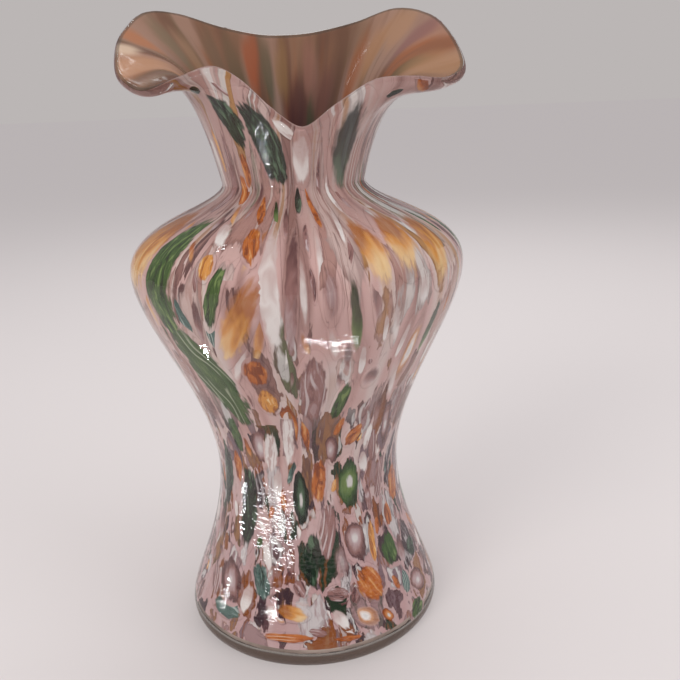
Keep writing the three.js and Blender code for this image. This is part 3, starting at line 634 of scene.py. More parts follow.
class Nodes:
    """Short calls that add nodes to a node tree and link them."""

    def __init__(self, tree):
        self.tree = tree

    def put(self, socket, value):
        """Give a socket a plain value, or link another socket to it."""
        if isinstance(value, bpy.types.NodeSocket):
            self.tree.links.new(value, socket)
        elif value is not None:
            socket.default_value = value

    def attribute(self, name, output="Vector"):
        """Numbers that a mesh's vertices carry."""
        node = self.tree.nodes.new("ShaderNodeAttribute")
        node.attribute_name = name
        return node.outputs[output]

    def place(self):
        """Where a point lies in its object's own frame."""
        return self.tree.nodes.new("ShaderNodeTexCoord").outputs["Object"]

    def group(self, tree, value):
        """What a node group makes of a value."""
        node = self.tree.nodes.new("ShaderNodeGroup")
        node.node_tree = tree
        self.put(node.inputs[0], value)
        return node.outputs[0]

    def parts(self, vector):
        """A vector's three parts."""
        node = self.tree.nodes.new("ShaderNodeSeparateXYZ")
        self.put(node.inputs[0], vector)
        return node.outputs

    def length(self, vector):
        node = self.tree.nodes.new("ShaderNodeVectorMath")
        node.operation = "LENGTH"
        self.put(node.inputs[0], vector)
        return node.outputs["Value"]

    def add(self, *values):
        total = values[0]
        for value in values[1:]:
            total = self.math("ADD", total, value)
        return total

    def times(self, *values):
        total = values[0]
        for value in values[1:]:
            total = self.math("MULTIPLY", total, value)
        return total

    def centred(self, value, amount):
        """A noise of 0 to 1 as a swing of an amount to both sides of 0."""
        return self.math("MULTIPLY_ADD", value, 2.0 * amount, -amount)

    def mapped(self, vector, scale, location=(0, 0, 0)):
        """A vector scaled and then moved."""
        node = self.tree.nodes.new("ShaderNodeMapping")
        self.put(node.inputs["Vector"], vector)
        node.inputs["Scale"].default_value = scale
        node.inputs["Location"].default_value = location
        return node.outputs[0]

    def noise(self, vector, scale, detail=2.0, roughness=0.5, output="Fac"):
        node = self.tree.nodes.new("ShaderNodeTexNoise")
        self.put(node.inputs["Vector"], vector)
        node.inputs["Scale"].default_value = scale
        node.inputs["Detail"].default_value = detail
        node.inputs["Roughness"].default_value = roughness
        return node.outputs[output]

    def voronoi(self, vector, scale, feature="F1"):
        """Cells round scattered points."""
        node = self.tree.nodes.new("ShaderNodeTexVoronoi")
        node.feature = feature
        self.put(node.inputs["Vector"], vector)
        node.inputs["Scale"].default_value = scale
        return node

    def math(self, operation, first, second=None, third=None):
        node = self.tree.nodes.new("ShaderNodeMath")
        node.operation = operation
        for socket, value in zip(node.inputs, (first, second, third)):
            self.put(socket, value)
        return node.outputs[0]

    def spread(self, value, low, high, new_low=0.0, new_high=1.0):
        """A value eased from new_low, where it is low, to new_high, where it is high."""
        node = self.tree.nodes.new("ShaderNodeMapRange")
        node.interpolation_type = "SMOOTHSTEP"
        for key, part in (("Value", value), ("From Min", low), ("From Max", high),
                          ("To Min", new_low), ("To Max", new_high)):
            self.put(node.inputs[key], part)
        return node.outputs[0]

    def mix(self, share, first, second):
        """A colour at a share of the way from the first to the second."""
        node = self.tree.nodes.new("ShaderNodeMix")
        node.data_type = "RGBA"
        self.put(node.inputs[0], share)
        self.put(node.inputs[6], first)
        self.put(node.inputs[7], second)
        return node.outputs[2]

    def shift(self, vector, other, amount):
        """A vector moved by another one times an amount."""
        node = self.tree.nodes.new("ShaderNodeVectorMath")
        node.operation = "MULTIPLY_ADD"
        self.put(node.inputs[0], other)
        node.inputs[1].default_value = (amount,) * 3
        self.put(node.inputs[2], vector)
        return node.outputs[0]

    def sway(self, vector, swing, amount):
        """A vector moved to all sides by a noise's colour, by up to half an amount."""
        return self.shift(self.shift(vector, (-0.5, -0.5, -0.5), amount), swing, amount)

    def ramp(self, value, stops, interpolation="LINEAR"):
        """A colour by a value, from stops."""
        node = self.tree.nodes.new("ShaderNodeValToRGB")
        node.color_ramp.interpolation = interpolation
        elements = node.color_ramp.elements
        while len(elements) < len(stops):
            elements.new(0.5)
        for element, (position, colour) in zip(elements, stops):
            element.position = position
            element.color = colour
        self.put(node.inputs[0], value)
        return node.outputs[0]

    def bump(self, height, strength, distance):
        node = self.tree.nodes.new("ShaderNodeBump")
        node.inputs["Strength"].default_value = strength
        node.inputs["Distance"].default_value = distance
        self.put(node.inputs["Height"], height)
        return node.outputs[0]


def new_material(name, settings):
    """A material with one shader and its plain settings, and the calls that add nodes to it."""
    material = bpy.data.materials.new(name)
    material.use_nodes = True
    tree = material.node_tree
    tree.nodes.clear()
    output = tree.nodes.new("ShaderNodeOutputMaterial")
    shader = tree.nodes.new("ShaderNodeBsdfPrincipled")
    tree.links.new(shader.outputs[0], output.inputs[0])
    for key, value in settings.items():
        shader.inputs[key].default_value = value
    return material, shader, Nodes(tree)


# Plain settings of the clear casing, of the glass that lies under it, and of the collar's glossy inside
CLEAR = {"Roughness": 0.0, "IOR": 1.5}
MATT = {"Roughness": 0.6, "Specular IOR Level": 0.0}
GLOSSY = {"Roughness": 0.25, "Specular IOR Level": 0.15, "Coat Weight": 0.15, "Coat Roughness": 0.04}


def clear_glass(colours):
    """Clear casing glass with the slow waves and fine crinkles of a hand-blown surface. Near the foot it is
    painted milky brown, painted light for the light that the clear foot pipes in, with a pale painted
    highlight line round it 8 mm up.
    """
    material, shader, make = new_material("clear_glass", CLEAR)
    place = make.place()
    slow = make.noise(make.mapped(place, (1, 1, 0.6)), 80, 1.0)
    crinkle = make.noise(make.mapped(place, (1, 1, 1.9)), 400, 0.0)
    patchy = make.spread(make.noise(place, 30, 1.0), 0.42, 0.6, 0.3, 1.0)
    waves = make.add(make.times(slow, 0.6), make.times(crinkle, patchy, 0.4))
    make.put(shader.inputs["Normal"], make.bump(waves, 0.7, 0.0006))
    height = make.add(make.parts(place)[2], make.centred(make.noise(place, 30, 1.0), 0.0006))
    # Painted light: below about 8 mm the casing turns milky brown, for the light that the clear foot pipes
    # in, and a pale ring at 8 mm is a painted highlight line.
    line = make.spread(make.math("ABSOLUTE", make.add(height, -0.008)), 0.0006, 0.0002)
    foot = make.spread(height, 0.0085, 0.007)
    colour = make.mix(foot, colours.clear, tone(136, 115, 103))
    make.put(shader.inputs["Base Color"], make.mix(line, colour, tone(210, 202, 194)))
    painted_light_share = make.times(make.math("MAXIMUM", foot, line), 0.3)
    make.put(shader.inputs["Transmission Weight"], make.math("SUBTRACT", 1.0, painted_light_share))
    return material


# Drawn heights at which the ground changes
LOW, WAIST, CHEST, SHOULDER, NECK = (drawn_height(up) for up in (40, 100, 140, 185, 225))


def streaked_ground(make, flow, broad, height, colours):
    """Pink glass with milky clouds, which turn to streaks from the chest up."""
    soft = make.noise(make.mapped(broad, (1, 1, 0.45)), 0.13, 1.0)
    clouds = make.mix(make.spread(soft, 0.4, 0.6, 0.0, 0.5), colours.ground, MILK)
    streaks = make.ramp(soft, (
        (0.34, tone(138, 102, 96)), (0.43, colours.ground), (0.54, tone(190, 155, 149)),
        (0.62, tone(198, 180, 174)), (0.7, tone(170, 130, 98))))
    colour = make.mix(make.spread(height, CHEST, SHOULDER, 0.35, 0.95), clouds, streaks)
    blush = make.spread(make.noise(flow, 0.05, 1.0), 0.35, 0.65, 0.0, 0.35)
    colour = make.mix(blush, colour, tone(190, 152, 147))
    colour = make.mix(make.spread(height, SHOULDER, NECK, 0.0, 0.3), colour, tone(118, 88, 80))
    return make.mix(make.spread(height, WAIST, LOW, 0.0, 0.7), colour, tone(170, 136, 137))


def patch_colour(make, pick, upper):
    """One of the patches' colours, picked by a number of 0 to 1, of those near the foot or higher up."""
    low, high = (make.ramp(pick, palette, "CONSTANT") for palette in (LOW_PATCHES, HIGH_PATCHES))
    return make.mix(upper, low, high)


def melted_patches(make, where, scale, ground, cover, upper):
    """Islands of glass melted into the ground: each has its own colour, streaks, a darker rim and, in some, a
    ring."""
    cells = make.voronoi(where, scale)
    edge = make.voronoi(where, scale, "DISTANCE_TO_EDGE").outputs["Distance"]
    chance, breadth, pick = make.parts(cells.outputs["Color"])
    ragged = make.centred(make.noise(where, scale * 5, 2.0), 0.12)
    rim = make.add(edge, ragged, make.times(breadth, -0.12))
    other = patch_colour(make, make.math("FRACT", make.math("MULTIPLY_ADD", pick, 3.7, 0.31)), upper)
    streaks = make.noise(make.mapped(where, (1, 1, 0.3)), scale * 4.5, 2.0, 0.6)
    streaked = make.times(make.spread(streaks, 0.48, 0.62), 0.65)
    colour = make.mix(streaked, patch_colour(make, pick, upper), other)
    ring = make.spread(make.math("ABSOLUTE", make.add(cells.outputs["Distance"], -0.27)), 0.1, 0.05)
    ringed = make.times(ring, make.math("GREATER_THAN", breadth, 0.55), 0.7)
    colour = make.mix(ringed, colour, MILK)
    colour = make.mix(make.spread(rim, 0.12, 0.03, 0.0, 0.4), colour, tone(92, 64, 62))
    own = make.times(make.spread(rim, 0.015, 0.05), make.math("LESS_THAN", chance, cover))
    return make.mix(own, ground, colour)


def dark_threads(make, flow, where, height, ground):
    """Thin dark threads in the ground, here and there."""
    threads = make.noise(make.mapped(where, (1, 1, 0.3), (13, 7, 5)), 0.5, 1.0)
    thread = make.spread(make.math("ABSOLUTE", make.add(threads, -0.5)), 0.022, 0.0)
    there = make.times(make.spread(make.noise(flow, 0.1, 1.0), 0.46, 0.6),
                       make.spread(height, CHEST, SHOULDER, 0.4, 1.0))
    return make.mix(make.times(thread, there, 0.65), ground, tone(98, 70, 66))


def spatter_pattern(colours):
    """The ground between the chips, from where it lies in the flow: pink glass with soft streaks, melted
    patches of two sizes and thin dark threads."""
    tree = bpy.data.node_groups.new("spatter", "ShaderNodeTree")
    tree.interface.new_socket("Flow", in_out="INPUT", socket_type="NodeSocketVector")
    tree.interface.new_socket("Colour", in_out="OUTPUT", socket_type="NodeSocketColor")
    make = Nodes(tree)
    flow = tree.nodes.new("NodeGroupInput").outputs[0]
    height = make.parts(flow)[2]
    broad = make.shift(flow, make.noise(flow, 0.07, 1.0, output="Color"), 9.0)
    where = make.shift(broad, make.noise(flow, 0.3, 2.0, output="Color"), 2.4)
    colour = streaked_ground(make, flow, broad, height, colours)
    upper = make.spread(height, WAIST, CHEST)
    small_cover = make.spread(height, LOW, CHEST, 0.6, 0.3)
    large_cover = make.add(make.spread(height, WAIST, CHEST, 0.8, 0.3),
                           make.spread(height, CHEST, NECK, 0.0, 0.25))
    small_place = make.mapped(where, (1, 1, 0.8), (11, 5, 3))
    colour = melted_patches(make, small_place, 0.2, colour, small_cover, upper)
    colour = melted_patches(make, where, 0.105, colour, large_cover, upper)
    colour = dark_threads(make, flow, where, height, colour)
    make.put(tree.nodes.new("NodeGroupOutput").inputs[0], colour)
    return tree


def spatter_colour(make, colours):
    """The ground's colour where a point lies in the flow."""
    tree = bpy.data.node_groups.get("spatter") or spatter_pattern(colours)
    return make.group(tree, make.attribute("flow"))


def ground_glass(colours):
    """Opaque pink ground under the casing."""
    material, shader, make = new_material("ground_glass", MATT)
    make.put(shader.inputs["Base Color"], spatter_colour(make, colours))
    return material


def underside_glass():
    """Brown glass of the gather's underside, seen through the clear foot, painted paler than its own colour
    as painted light, for the light that the clear foot pipes in.
    """
    material, shader, make = new_material("underside_glass", MATT)
    cloud = make.noise(make.place(), 60, 2.0)
    # Painted light: pale brown-grey, lighter than the gather's own glass, for the light piped in through the
    # foot
    colour = make.ramp(cloud, ((0.35, tone(122, 106, 96)), (0.65, tone(166, 148, 138))))
    make.put(shader.inputs["Base Color"], colour)
    return material


def inside_streaks(make, flow, ground):
    """The soft streaks of the collar's inside over its ground."""
    place = make.sway(flow, make.noise(flow, 0.12, 2.0, output="Color"), 5.0)
    colour = ground
    for azimuth, up, wide, long, tint, strength in INSIDE_STREAKS:
        drawing = 2 / (drawn_height(up + 1) - drawn_height(up - 1))
        stretch = (1 / wide, 1 / wide, drawing / long)
        centre = flow_at(azimuth, up) + (INSIDE_SHIFT, 0, 0)
        offset = tuple(-part * scale for part, scale in zip(centre, stretch))
        reach = make.length(make.mapped(place, stretch, offset))
        colour = make.mix(make.spread(reach, 1.25, 0.4, 0.0, strength), colour, tint)
    return colour


def inside_glass(colours):
    """The inside of the collar: brown and tan with soft streaks that fan out from the neck, under a glossy
    skin. Its tones are kept dark as painted shade inside the collar, and painted light makes it paler towards
    the lip."""
    material, shader, make = new_material("inside_glass", GLOSSY)
    flow = make.attribute("flow")
    height = make.parts(flow)[2]
    soft = make.shift(flow, make.noise(flow, 0.06, 1.0, output="Color"), 9.0)
    soft = make.shift(soft, make.noise(flow, 0.3, 1.0, output="Color"), 2.0)
    broad = make.noise(make.mapped(soft, (1, 1, 0.9)), 0.055, 1.0)
    colour = make.ramp(broad, ((0.34, tone(66, 46, 40)), (0.46, colours.inside), (0.56, tone(110, 82, 66)),
                               (0.66, tone(132, 100, 80))))
    for offset, tint, strength in INSIDE_BANDS:
        band = make.noise(make.mapped(soft, (1, 1, 0.85), offset), 0.07, 1.0)
        colour = make.mix(make.spread(band, 0.52, 0.66, 0.0, strength), colour, tint)
    fine = make.noise(make.mapped(soft, (1, 1, 0.5), (5, 5, 5)), 0.3, 1.0)
    colour = make.mix(make.spread(fine, 0.52, 0.72, 0.0, 0.35), colour, tone(72, 50, 44))
    colour = inside_streaks(make, flow, colour)
    # Painted light and shade: paler towards the lip, darker deep in the neck where less light falls
    painted_light_to_lip = make.spread(height, drawn_height(248), drawn_height(300), 0.0, 0.3)
    colour = make.mix(painted_light_to_lip, colour, tone(162, 120, 94))
    lip = make.times(make.attribute("lip", "Fac"), 0.5)
    make.put(shader.inputs["Base Color"], make.mix(lip, colour, tone(62, 52, 44)))
    return material


def drawn_streaks(make, bent, tones):
    """A chip's streaks and pale hairs, drawn out along it."""
    deep, main, pale = tones
    streaks = make.noise(make.mapped(bent, (0.5, 0.07, 1)), 1.0, 2.0, 0.55)
    colour = make.ramp(streaks, ((0.4, deep), (0.49, main), (0.57, main), (0.66, pale)))
    hair = make.noise(make.mapped(bent, (0.9, 0.04, 1), (7, 2, 1)), 1.0, 0.0)
    pale_hair = make.spread(make.math("ABSOLUTE", make.add(hair, -0.56)), 0.02, 0.0, 0.0, 0.7)
    return make.mix(pale_hair, colour, pale)


def fading_tones(make, bent, along, tones):
    """A chip that goes from pale at one end to deep at the other."""
    deep, main, pale = tones
    drift = make.add(along, make.centred(make.noise(make.mapped(bent, (0.28, 0.06, 1)), 1.0, 0.0), 0.5))
    return make.ramp(make.spread(drift, -0.8, 0.7), ((0.0, pale), (0.4, main), (0.8, deep)))


def curled_stripes(make, grain, across, along):
    """How far a chip's curled and broken stripes cover it."""
    swing = make.centred(make.noise(make.mapped(grain, (0.12, 0.05, 1), (3, 1, 6)), 1.0, 0.0), 1.4)
    curls = make.add(make.times(across, 2.2), make.times(along, along, 1.3), swing)
    stripe = make.spread(make.math("PINGPONG", curls, 0.5), 0.3, 0.42)
    broken = make.noise(make.mapped(grain, (0.2, 0.05, 1), (6, 2, 9)), 1.0, 0.0)
    return make.times(stripe, make.spread(broken, 0.4, 0.55))


def ring_tones(make, unit, grain, ragged, pale, outer):
    """A chip's rings, from a milky heart out."""
    drifted = make.sway(unit, make.noise(make.mapped(grain, (0.1, 0.04, 1)), 1.0, 0.0, output="Color"), 0.7)
    reach = make.add(make.length(drifted), make.times(ragged, 0.8))
    return make.ramp(reach, ((0.14, MILK), (0.26, pale), (0.42, between(pale, outer[0])), (0.5, outer[0]),
                             (0.7, outer[1])))


def chip_glass(kind, colours):
    """Coloured chip glass: drawn streaks of its deep and pale tones, with rings, stripes or a fading end in
    some, and a ragged rim past which the ground shows."""
    material, shader, make = new_material(kind + "_chip_glass", MATT)
    tones = deep, main, pale = KINDS[kind][0], getattr(colours, kind), KINDS[kind][2]
    unit, grain, melt = make.attribute("unit"), make.attribute("grain"), make.attribute("melt", "Fac")
    across, along = make.parts(unit)[:2]
    ringed, striped, fading = make.parts(make.attribute("style"))
    bent = make.shift(grain, make.noise(make.mapped(grain, (0.2, 0.08, 1)), 1.0, 1.0, output="Color"), 4.0)
    ragged = make.centred(make.noise(make.mapped(grain, (0.4, 0.14, 1)), 1.0, 2.0), 0.28)
    colour = drawn_streaks(make, bent, tones)
    colour = make.mix(make.times(fading, 0.88), colour, fading_tones(make, bent, along, tones))
    colour = make.mix(make.times(striped, 0.6), colour, main)
    stripes = make.times(curled_stripes(make, grain, across, along), striped, 0.9)
    colour = make.mix(stripes, colour, between(pale, MILK, 0.3))
    outer = WHITE_RINGS if kind == "white" else (main, deep)
    rings = ring_tones(make, unit, grain, ragged, pale, outer)
    colour = make.mix(make.times(ringed, 0.85), colour, rings)
    hairs = make.centred(make.noise(make.mapped(grain, (1.3, 0.08, 1), (4, 4, 4)), 1.0, 2.0), 0.28)
    rim = make.add(make.length(unit), ragged, make.times(hairs, along, along))
    colour = make.mix(make.spread(rim, RIM - 0.22, RIM, 0.0, 0.45), colour, deep)
    start = make.math("MULTIPLY_ADD", melt, -0.6, RIM)
    own = make.times(make.spread(rim, RIM + 0.03, start), make.math("MULTIPLY_ADD", melt, -0.3, 1.0))
    make.put(shader.inputs["Base Color"], make.mix(own, spatter_colour(make, colours), colour))
    return material


def chip_materials(colours):
    """The chips' materials by kind of glass, made when they are first asked for."""
    return {kind: bpy.data.materials.get(kind + "_chip_glass") or chip_glass(kind, colours) for kind in KINDS}


# Sizes and colours that can be changed

def length(name, text, value):
    """A length that can be changed, given in mm."""
    return bpy.props.FloatProperty(name=name, description=text, default=value * MM, min=0.0, unit="LENGTH")


def shade(name, text, value):
    """A colour that can be changed."""
    return bpy.props.FloatVectorProperty(
        name=name, description=text, default=value, min=0.0, max=1.0, size=4, subtype="COLOR")


class VaseSizes(bpy.types.PropertyGroup):
    resting_radius: length("Resting radius", "Outer radius of the flat ring that the vase stands on", 57)
    resting_width: length("Resting width", "Width of the ring that the vase stands on", 7)
    under_recess: length("Recess under the foot", "How far the middle of the underside is raised", 1.2)
    foot_radius: length("Foot radius", "Radius at the foot's edge", 61.8)
    foot_edge: length("Foot edge", "Height of the foot's rounded edge", 6)
    waist_radius: length("Waist radius", "Radius of the narrow waist", 43.3)
    waist_height: length("Waist height", "Height of the narrow waist", 77)
    shoulder_radius: length("Shoulder radius", "Radius of the full shoulder", 74.2)
    shoulder_height: length("Shoulder height", "Height of the full shoulder", 173)
    neck_radius: length("Neck radius", "Radius of the neck", 31.6)
    neck_height: length("Neck height", "Height of the neck", 210)
    wall: length("Wall", "Thickness of the whole wall", 4)
    lining: length("Lining", "Thickness of the inner gather", 1.1)
    foot_floor: length("Foot glass", "Clear glass under the lining's floor", 5.35)
    lining_floor: length("Lining floor", "Thickness of the lining's floor", 2)
    corner_round: length("Floor corner", "Roundness between the wall and the floor", 3.5)
    bead: length("Lip bead", "How far below the lip the lining's inside ends", 0.4)


class VaseColours(bpy.types.PropertyGroup):
    clear: shade("Clear glass", "Tint of the clear casing", (0.93, 0.955, 0.935, 1.0))
    ground: shade("Ground", "Pink of the ground between the chips", GROUND)
    # The inside's tan is kept dark, as painted shade inside the collar
    inside: shade("Inside", "Tan of the inside of the collar", tone(100, 72, 58))
    amber: shade("Amber", "Amber chips", KINDS["amber"][1])
    orange: shade("Orange", "Orange chips", KINDS["orange"][1])
    green: shade("Green", "Green chips", KINDS["green"][1])
    dark_green: shade("Dark green", "Dark green chips", KINDS["dark_green"][1])
    white: shade("White", "White chips", KINDS["white"][1])
    mauve: shade("Mauve", "Mauve chips", KINDS["mauve"][1])
    teal: shade("Teal", "Teal chips", KINDS["teal"][1])


# The lining and the casing

# Segments round the lining and the casing, and the rings of each: round a corner of the floor, and up the
# body and the collar
LINING_SEGMENTS = 200
LINING_CORNER = 8
LINING_OUTSIDE = (110, 44)
LINING_INSIDE = (70, 44)
CASING_SEGMENTS = 240
CASING_CORNER = 6
CASING_OUTSIDE = (120, 50)
CASING_INSIDE = (60, 30)
FOOT_EDGE_STEPS = 12
LIP_STEP = 12

# How far along its curves a wall starts past its floor's corner
CORNER_GAP = 0.01

# The lining's edge inside the rounded lip: how far past the wall's end it starts, and then how deep in the
# glass and how far past the wall's end it goes on, in mm
LINING_RISE = 0.5
LINING_TOP = ((3.1, 0.95), (3.4, 1.15), (3.7, 0.85), (3.88, 0.2))

# How far below the lip the casing's outside ends, how far short of the inside its hidden edge starts, and how
# far past the lip's bead the rings there lie, in mm
CASING_EDGE = 0.6
TUCK_DEPTH = 0.05
TUCKS = (0.3, 1.0, 3.0)

# The recess under the foot: how far inside the resting ring, in mm, and its share of the whole rise there
RECESS = ((5, 1.0), (2.5, 0.7), (1, 1 / 6), (0, 0))

# How far from its edges the resting ring has points of its own, in mm
RING_MARGIN = 0.5

# The lining's materials, in their order on its mesh
GROUND_SIDE, COLLAR_SIDE, UNDER_SIDE = range(3)


def paint_faces(mesh, kinds):
    """Give each face its vertices' material: the underside's where any of them has it, or else the lowest."""
    corners = np.empty(len(mesh.loops), int)
    mesh.loops.foreach_get("vertex_index", corners)
    starts = np.empty(len(mesh.polygons), int)
    mesh.polygons.foreach_get("loop_start", starts)
    lowest = np.minimum.reduceat(kinds[corners], starts)
    highest = np.maximum.reduceat(kinds[corners], starts)
    mesh.polygons.foreach_set("material_index", np.where(highest == UNDER_SIDE, UNDER_SIDE, lowest))


class VASE_OT_lining(bpy.types.Operator):
    """Add the opaque inner gather, pink outside and tan inside"""
    bl_idname = "vase.lining"
    bl_label = "Inner Gather"
    bl_options = {"REGISTER", "UNDO"}

    def execute(self, context):
        sizes, colours = context.scene.vase_sizes, context.scene.vase_colours
        wall = Wall(sizes)
        outer_depth = wall.thickness - sizes.lining / MM
        underside = sizes.foot_floor / MM
        floor = underside + sizes.lining_floor / MM
        roundness = sizes.corner_round / MM
        edge = sizes.bead / MM
        out_corner, out_start = corner_rings(wall, outer_depth, underside, roundness, LINING_CORNER)
        in_corner, in_start = corner_rings(wall, wall.thickness, floor, roundness, LINING_CORNER)
        outer = wall_rings(wall, outer_depth, out_start + CORNER_GAP, edge, LINING_OUTSIDE)
        top = [lambda azimuth, depth=depth, beyond=beyond: wall.in_lip(azimuth, depth, beyond)
               for depth, beyond in ((outer_depth, LINING_RISE),) + LINING_TOP]
        inner = wall_rings(wall, wall.thickness, in_start + CORNER_GAP, edge, LINING_INSIDE)
        rings = out_corner[::-1] + outer + top + inner[::-1] + in_corner
        piece, row, azimuth = sphere_shell("lining", rings, underside, floor, LINING_SEGMENTS)
        mesh = piece.data
        points = shape_numbers(mesh) / MM
        on_edge = len(out_corner) + len(outer) + 1
        inside = row > on_edge
        places = np.concatenate((
            (0,), np.full(len(out_corner), out_start),
            np.linspace(out_start, NECK_PLACE, LINING_OUTSIDE[0], endpoint=False),
            np.linspace(NECK_PLACE, LIP_PLACE, LINING_OUTSIDE[1]), np.full(len(top), LIP_PLACE),
            np.linspace(LIP_PLACE, NECK_PLACE, LINING_INSIDE[1]),
            np.linspace(NECK_PLACE, in_start, LINING_INSIDE[0] + 1)[1:],
            np.full(len(in_corner), in_start), (0,)))
        up = wall.up_at(azimuth, places[row])
        on_floor = (row <= len(out_corner)) | (row > len(rings) - len(in_corner))
        reach = np.hypot(points[:, 0], points[:, 1])
        up[on_floor] -= reach.max(where=on_floor, initial=0) - reach[on_floor]
        flow = flow_at(azimuth, up)
        flow[inside] += (INSIDE_SHIFT, 0, 0)
        give_attribute(mesh, "flow", "FLOAT_VECTOR", flow)
        at_lip = (row >= on_edge) & (row < on_edge + len(top))
        give_attribute(mesh, "lip", "FLOAT", at_lip)
        mesh.materials.append(ground_glass(colours))
        mesh.materials.append(inside_glass(colours))
        mesh.materials.append(underside_glass())
        outside = np.where(row < len(out_corner), UNDER_SIDE, GROUND_SIDE)
        paint_faces(mesh, np.where(inside, COLLAR_SIDE, outside))
        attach(piece, "root")
        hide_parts("inner_gather")
        return {"FINISHED"}


class VASE_OT_casing(bpy.types.Operator):
    """Add the clear casing: thick foot, outer skin and rounded lip"""
    bl_idname = "vase.casing"
    bl_label = "Clear Casing"
    bl_options = {"REGISTER", "UNDO"}

    def execute(self, context):
        sizes, colours = context.scene.vase_sizes, context.scene.vase_colours
        wall = Wall(sizes)
        resting = sizes.resting_radius / MM
        recess = resting - sizes.resting_width / MM
        raised = sizes.under_recess / MM
        edge_width = sizes.foot_radius / MM - resting
        edge_height = sizes.foot_edge / MM
        under = [flat_ring(recess - inside, raised * share) for inside, share in RECESS]
        under += [flat_ring(radius, 0) for radius in (recess + RING_MARGIN, resting - RING_MARGIN, resting)]
        for step in range(1, FOOT_EDGE_STEPS):
            turn = step / FOOT_EDGE_STEPS * math.pi / 2
            under.append(flat_ring(resting + edge_width * math.sin(turn), edge_height * (1 - math.cos(turn))))
        hidden = wall.thickness - sizes.lining / MM / 2
        tucks = [sizes.bead / MM + tuck for tuck in TUCKS]
        outer = wall_rings(wall, 0, 0.0, CASING_EDGE, CASING_OUTSIDE)
        lip = [lambda azimuth, turn=turn: wall.lip_point(azimuth, turn) for turn in range(0, 181, LIP_STEP)]
        inside = [lambda azimuth, depth=depth, back=back:
                  wall.point(azimuth, wall.edge_place(azimuth, back), depth)
                  for depth, back in ((wall.thickness - TUCK_DEPTH, tucks[0]), (hidden, tucks[1]))]
        floor = (sizes.foot_floor + sizes.lining_floor / 2) / MM
        corner, start = corner_rings(wall, hidden, floor, sizes.corner_round / MM, CASING_CORNER)
        inner = wall_rings(wall, hidden, start + CORNER_GAP, tucks[2], CASING_INSIDE)
        rings = under + outer + lip + inside + inner[::-1] + corner
        piece = sphere_shell("casing", rings, raised, floor, CASING_SEGMENTS)[0]
        piece.data.materials.append(clear_glass(colours))
        piece.visible_shadow = False
        piece.visible_diffuse = False
        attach(piece, "root")
        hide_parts("clear_casing")
        return {"FINISHED"}


# The chips

def lens_template(segments, rings):
    """A plain sphere, which each chip copies and bends."""
    start_fresh()
    bpy.ops.mesh.primitive_uv_sphere_add(segments=segments, ring_count=rings, radius=1)
    ball = bpy.context.object
    bpy.ops.object.shade_smooth()
    mesh = ball.data
    bpy.data.objects.remove(ball)
    return mesh


def bend_chip(wall, unit, chip, seed, depths, breadth):
    """A chip's numbers at each point of a sphere that is flattened, drawn out and bent onto the wall."""
    azimuth, up, length, width, lean, bow = chip[:6]
    style = chip[-1]
    x, y, z = unit.T
    reach, wide = length / 2 / RIM, width / 2 * breadth / RIM
    across, along = bow * (1 - z * z) + x * wide, z * reach
    turn = math.radians(lean)
    aside = across * math.cos(turn) + along * math.sin(turn)
    rise = up + along * math.cos(turn) - across * math.sin(turn)
    radius = wall.line(azimuth, float(wall.place_at(azimuth, up)))[0] + wall.half
    turned = azimuth + np.degrees(aside / radius)
    front, middle, back = depths
    depth = np.where(y < 0, middle + y * (middle - front), middle + y * (back - middle))
    full = np.ones_like(x)
    return {
        "co": wall.point(turned, wall.place_at(turned, rise), depth) * MM,
        "unit": np.stack((x, z, 0 * x), -1),
        "grain": np.stack((x * wide, along, full * seed * GRAIN_STEP), -1),
        "flow": flow_at(turned, rise),
        "style": full[:, None] * STYLES[style],
        "melt": full * MELT[style],
    }


def finish_chips(context, name, mesh, numbers, kind, material):
    """A piece of one or many chips from a mesh and its numbers."""
    mesh.vertices.foreach_set("co", numbers["co"].ravel())
    for key, values in numbers.items():
        if key != "co":
            give_attribute(mesh, key, "FLOAT" if values.ndim == 1 else "FLOAT_VECTOR", values)
    mesh.materials.append(material)
    mesh.update()
    piece = bpy.data.objects.new(name, mesh)
    context.collection.objects.link(piece)
    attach(piece, "root")
    return piece


class VASE_OT_chips(bpy.types.Operator):
    """Add the large chips of coloured glass"""
    bl_idname = "vase.chips"
    bl_label = "Large Chips"
    bl_options = {"REGISTER", "UNDO"}

    def execute(self, context):
        wall = Wall(context.scene.vase_sizes)
        materials = chip_materials(context.scene.vase_colours)
        template = lens_template(*CHIP_DETAIL)
        unit = shape_numbers(template)
        for seed, (name, *chip) in enumerate(CHIPS, 1):
            numbers = bend_chip(wall, unit, chip, seed, CHIP_DEPTHS, CHIP_BREADTH)
            kind = chip[-2]
            piece = finish_chips(context, name + "_glass", template.copy(), numbers, kind, materials[kind])
            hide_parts(name)
        return {"FINISHED"}


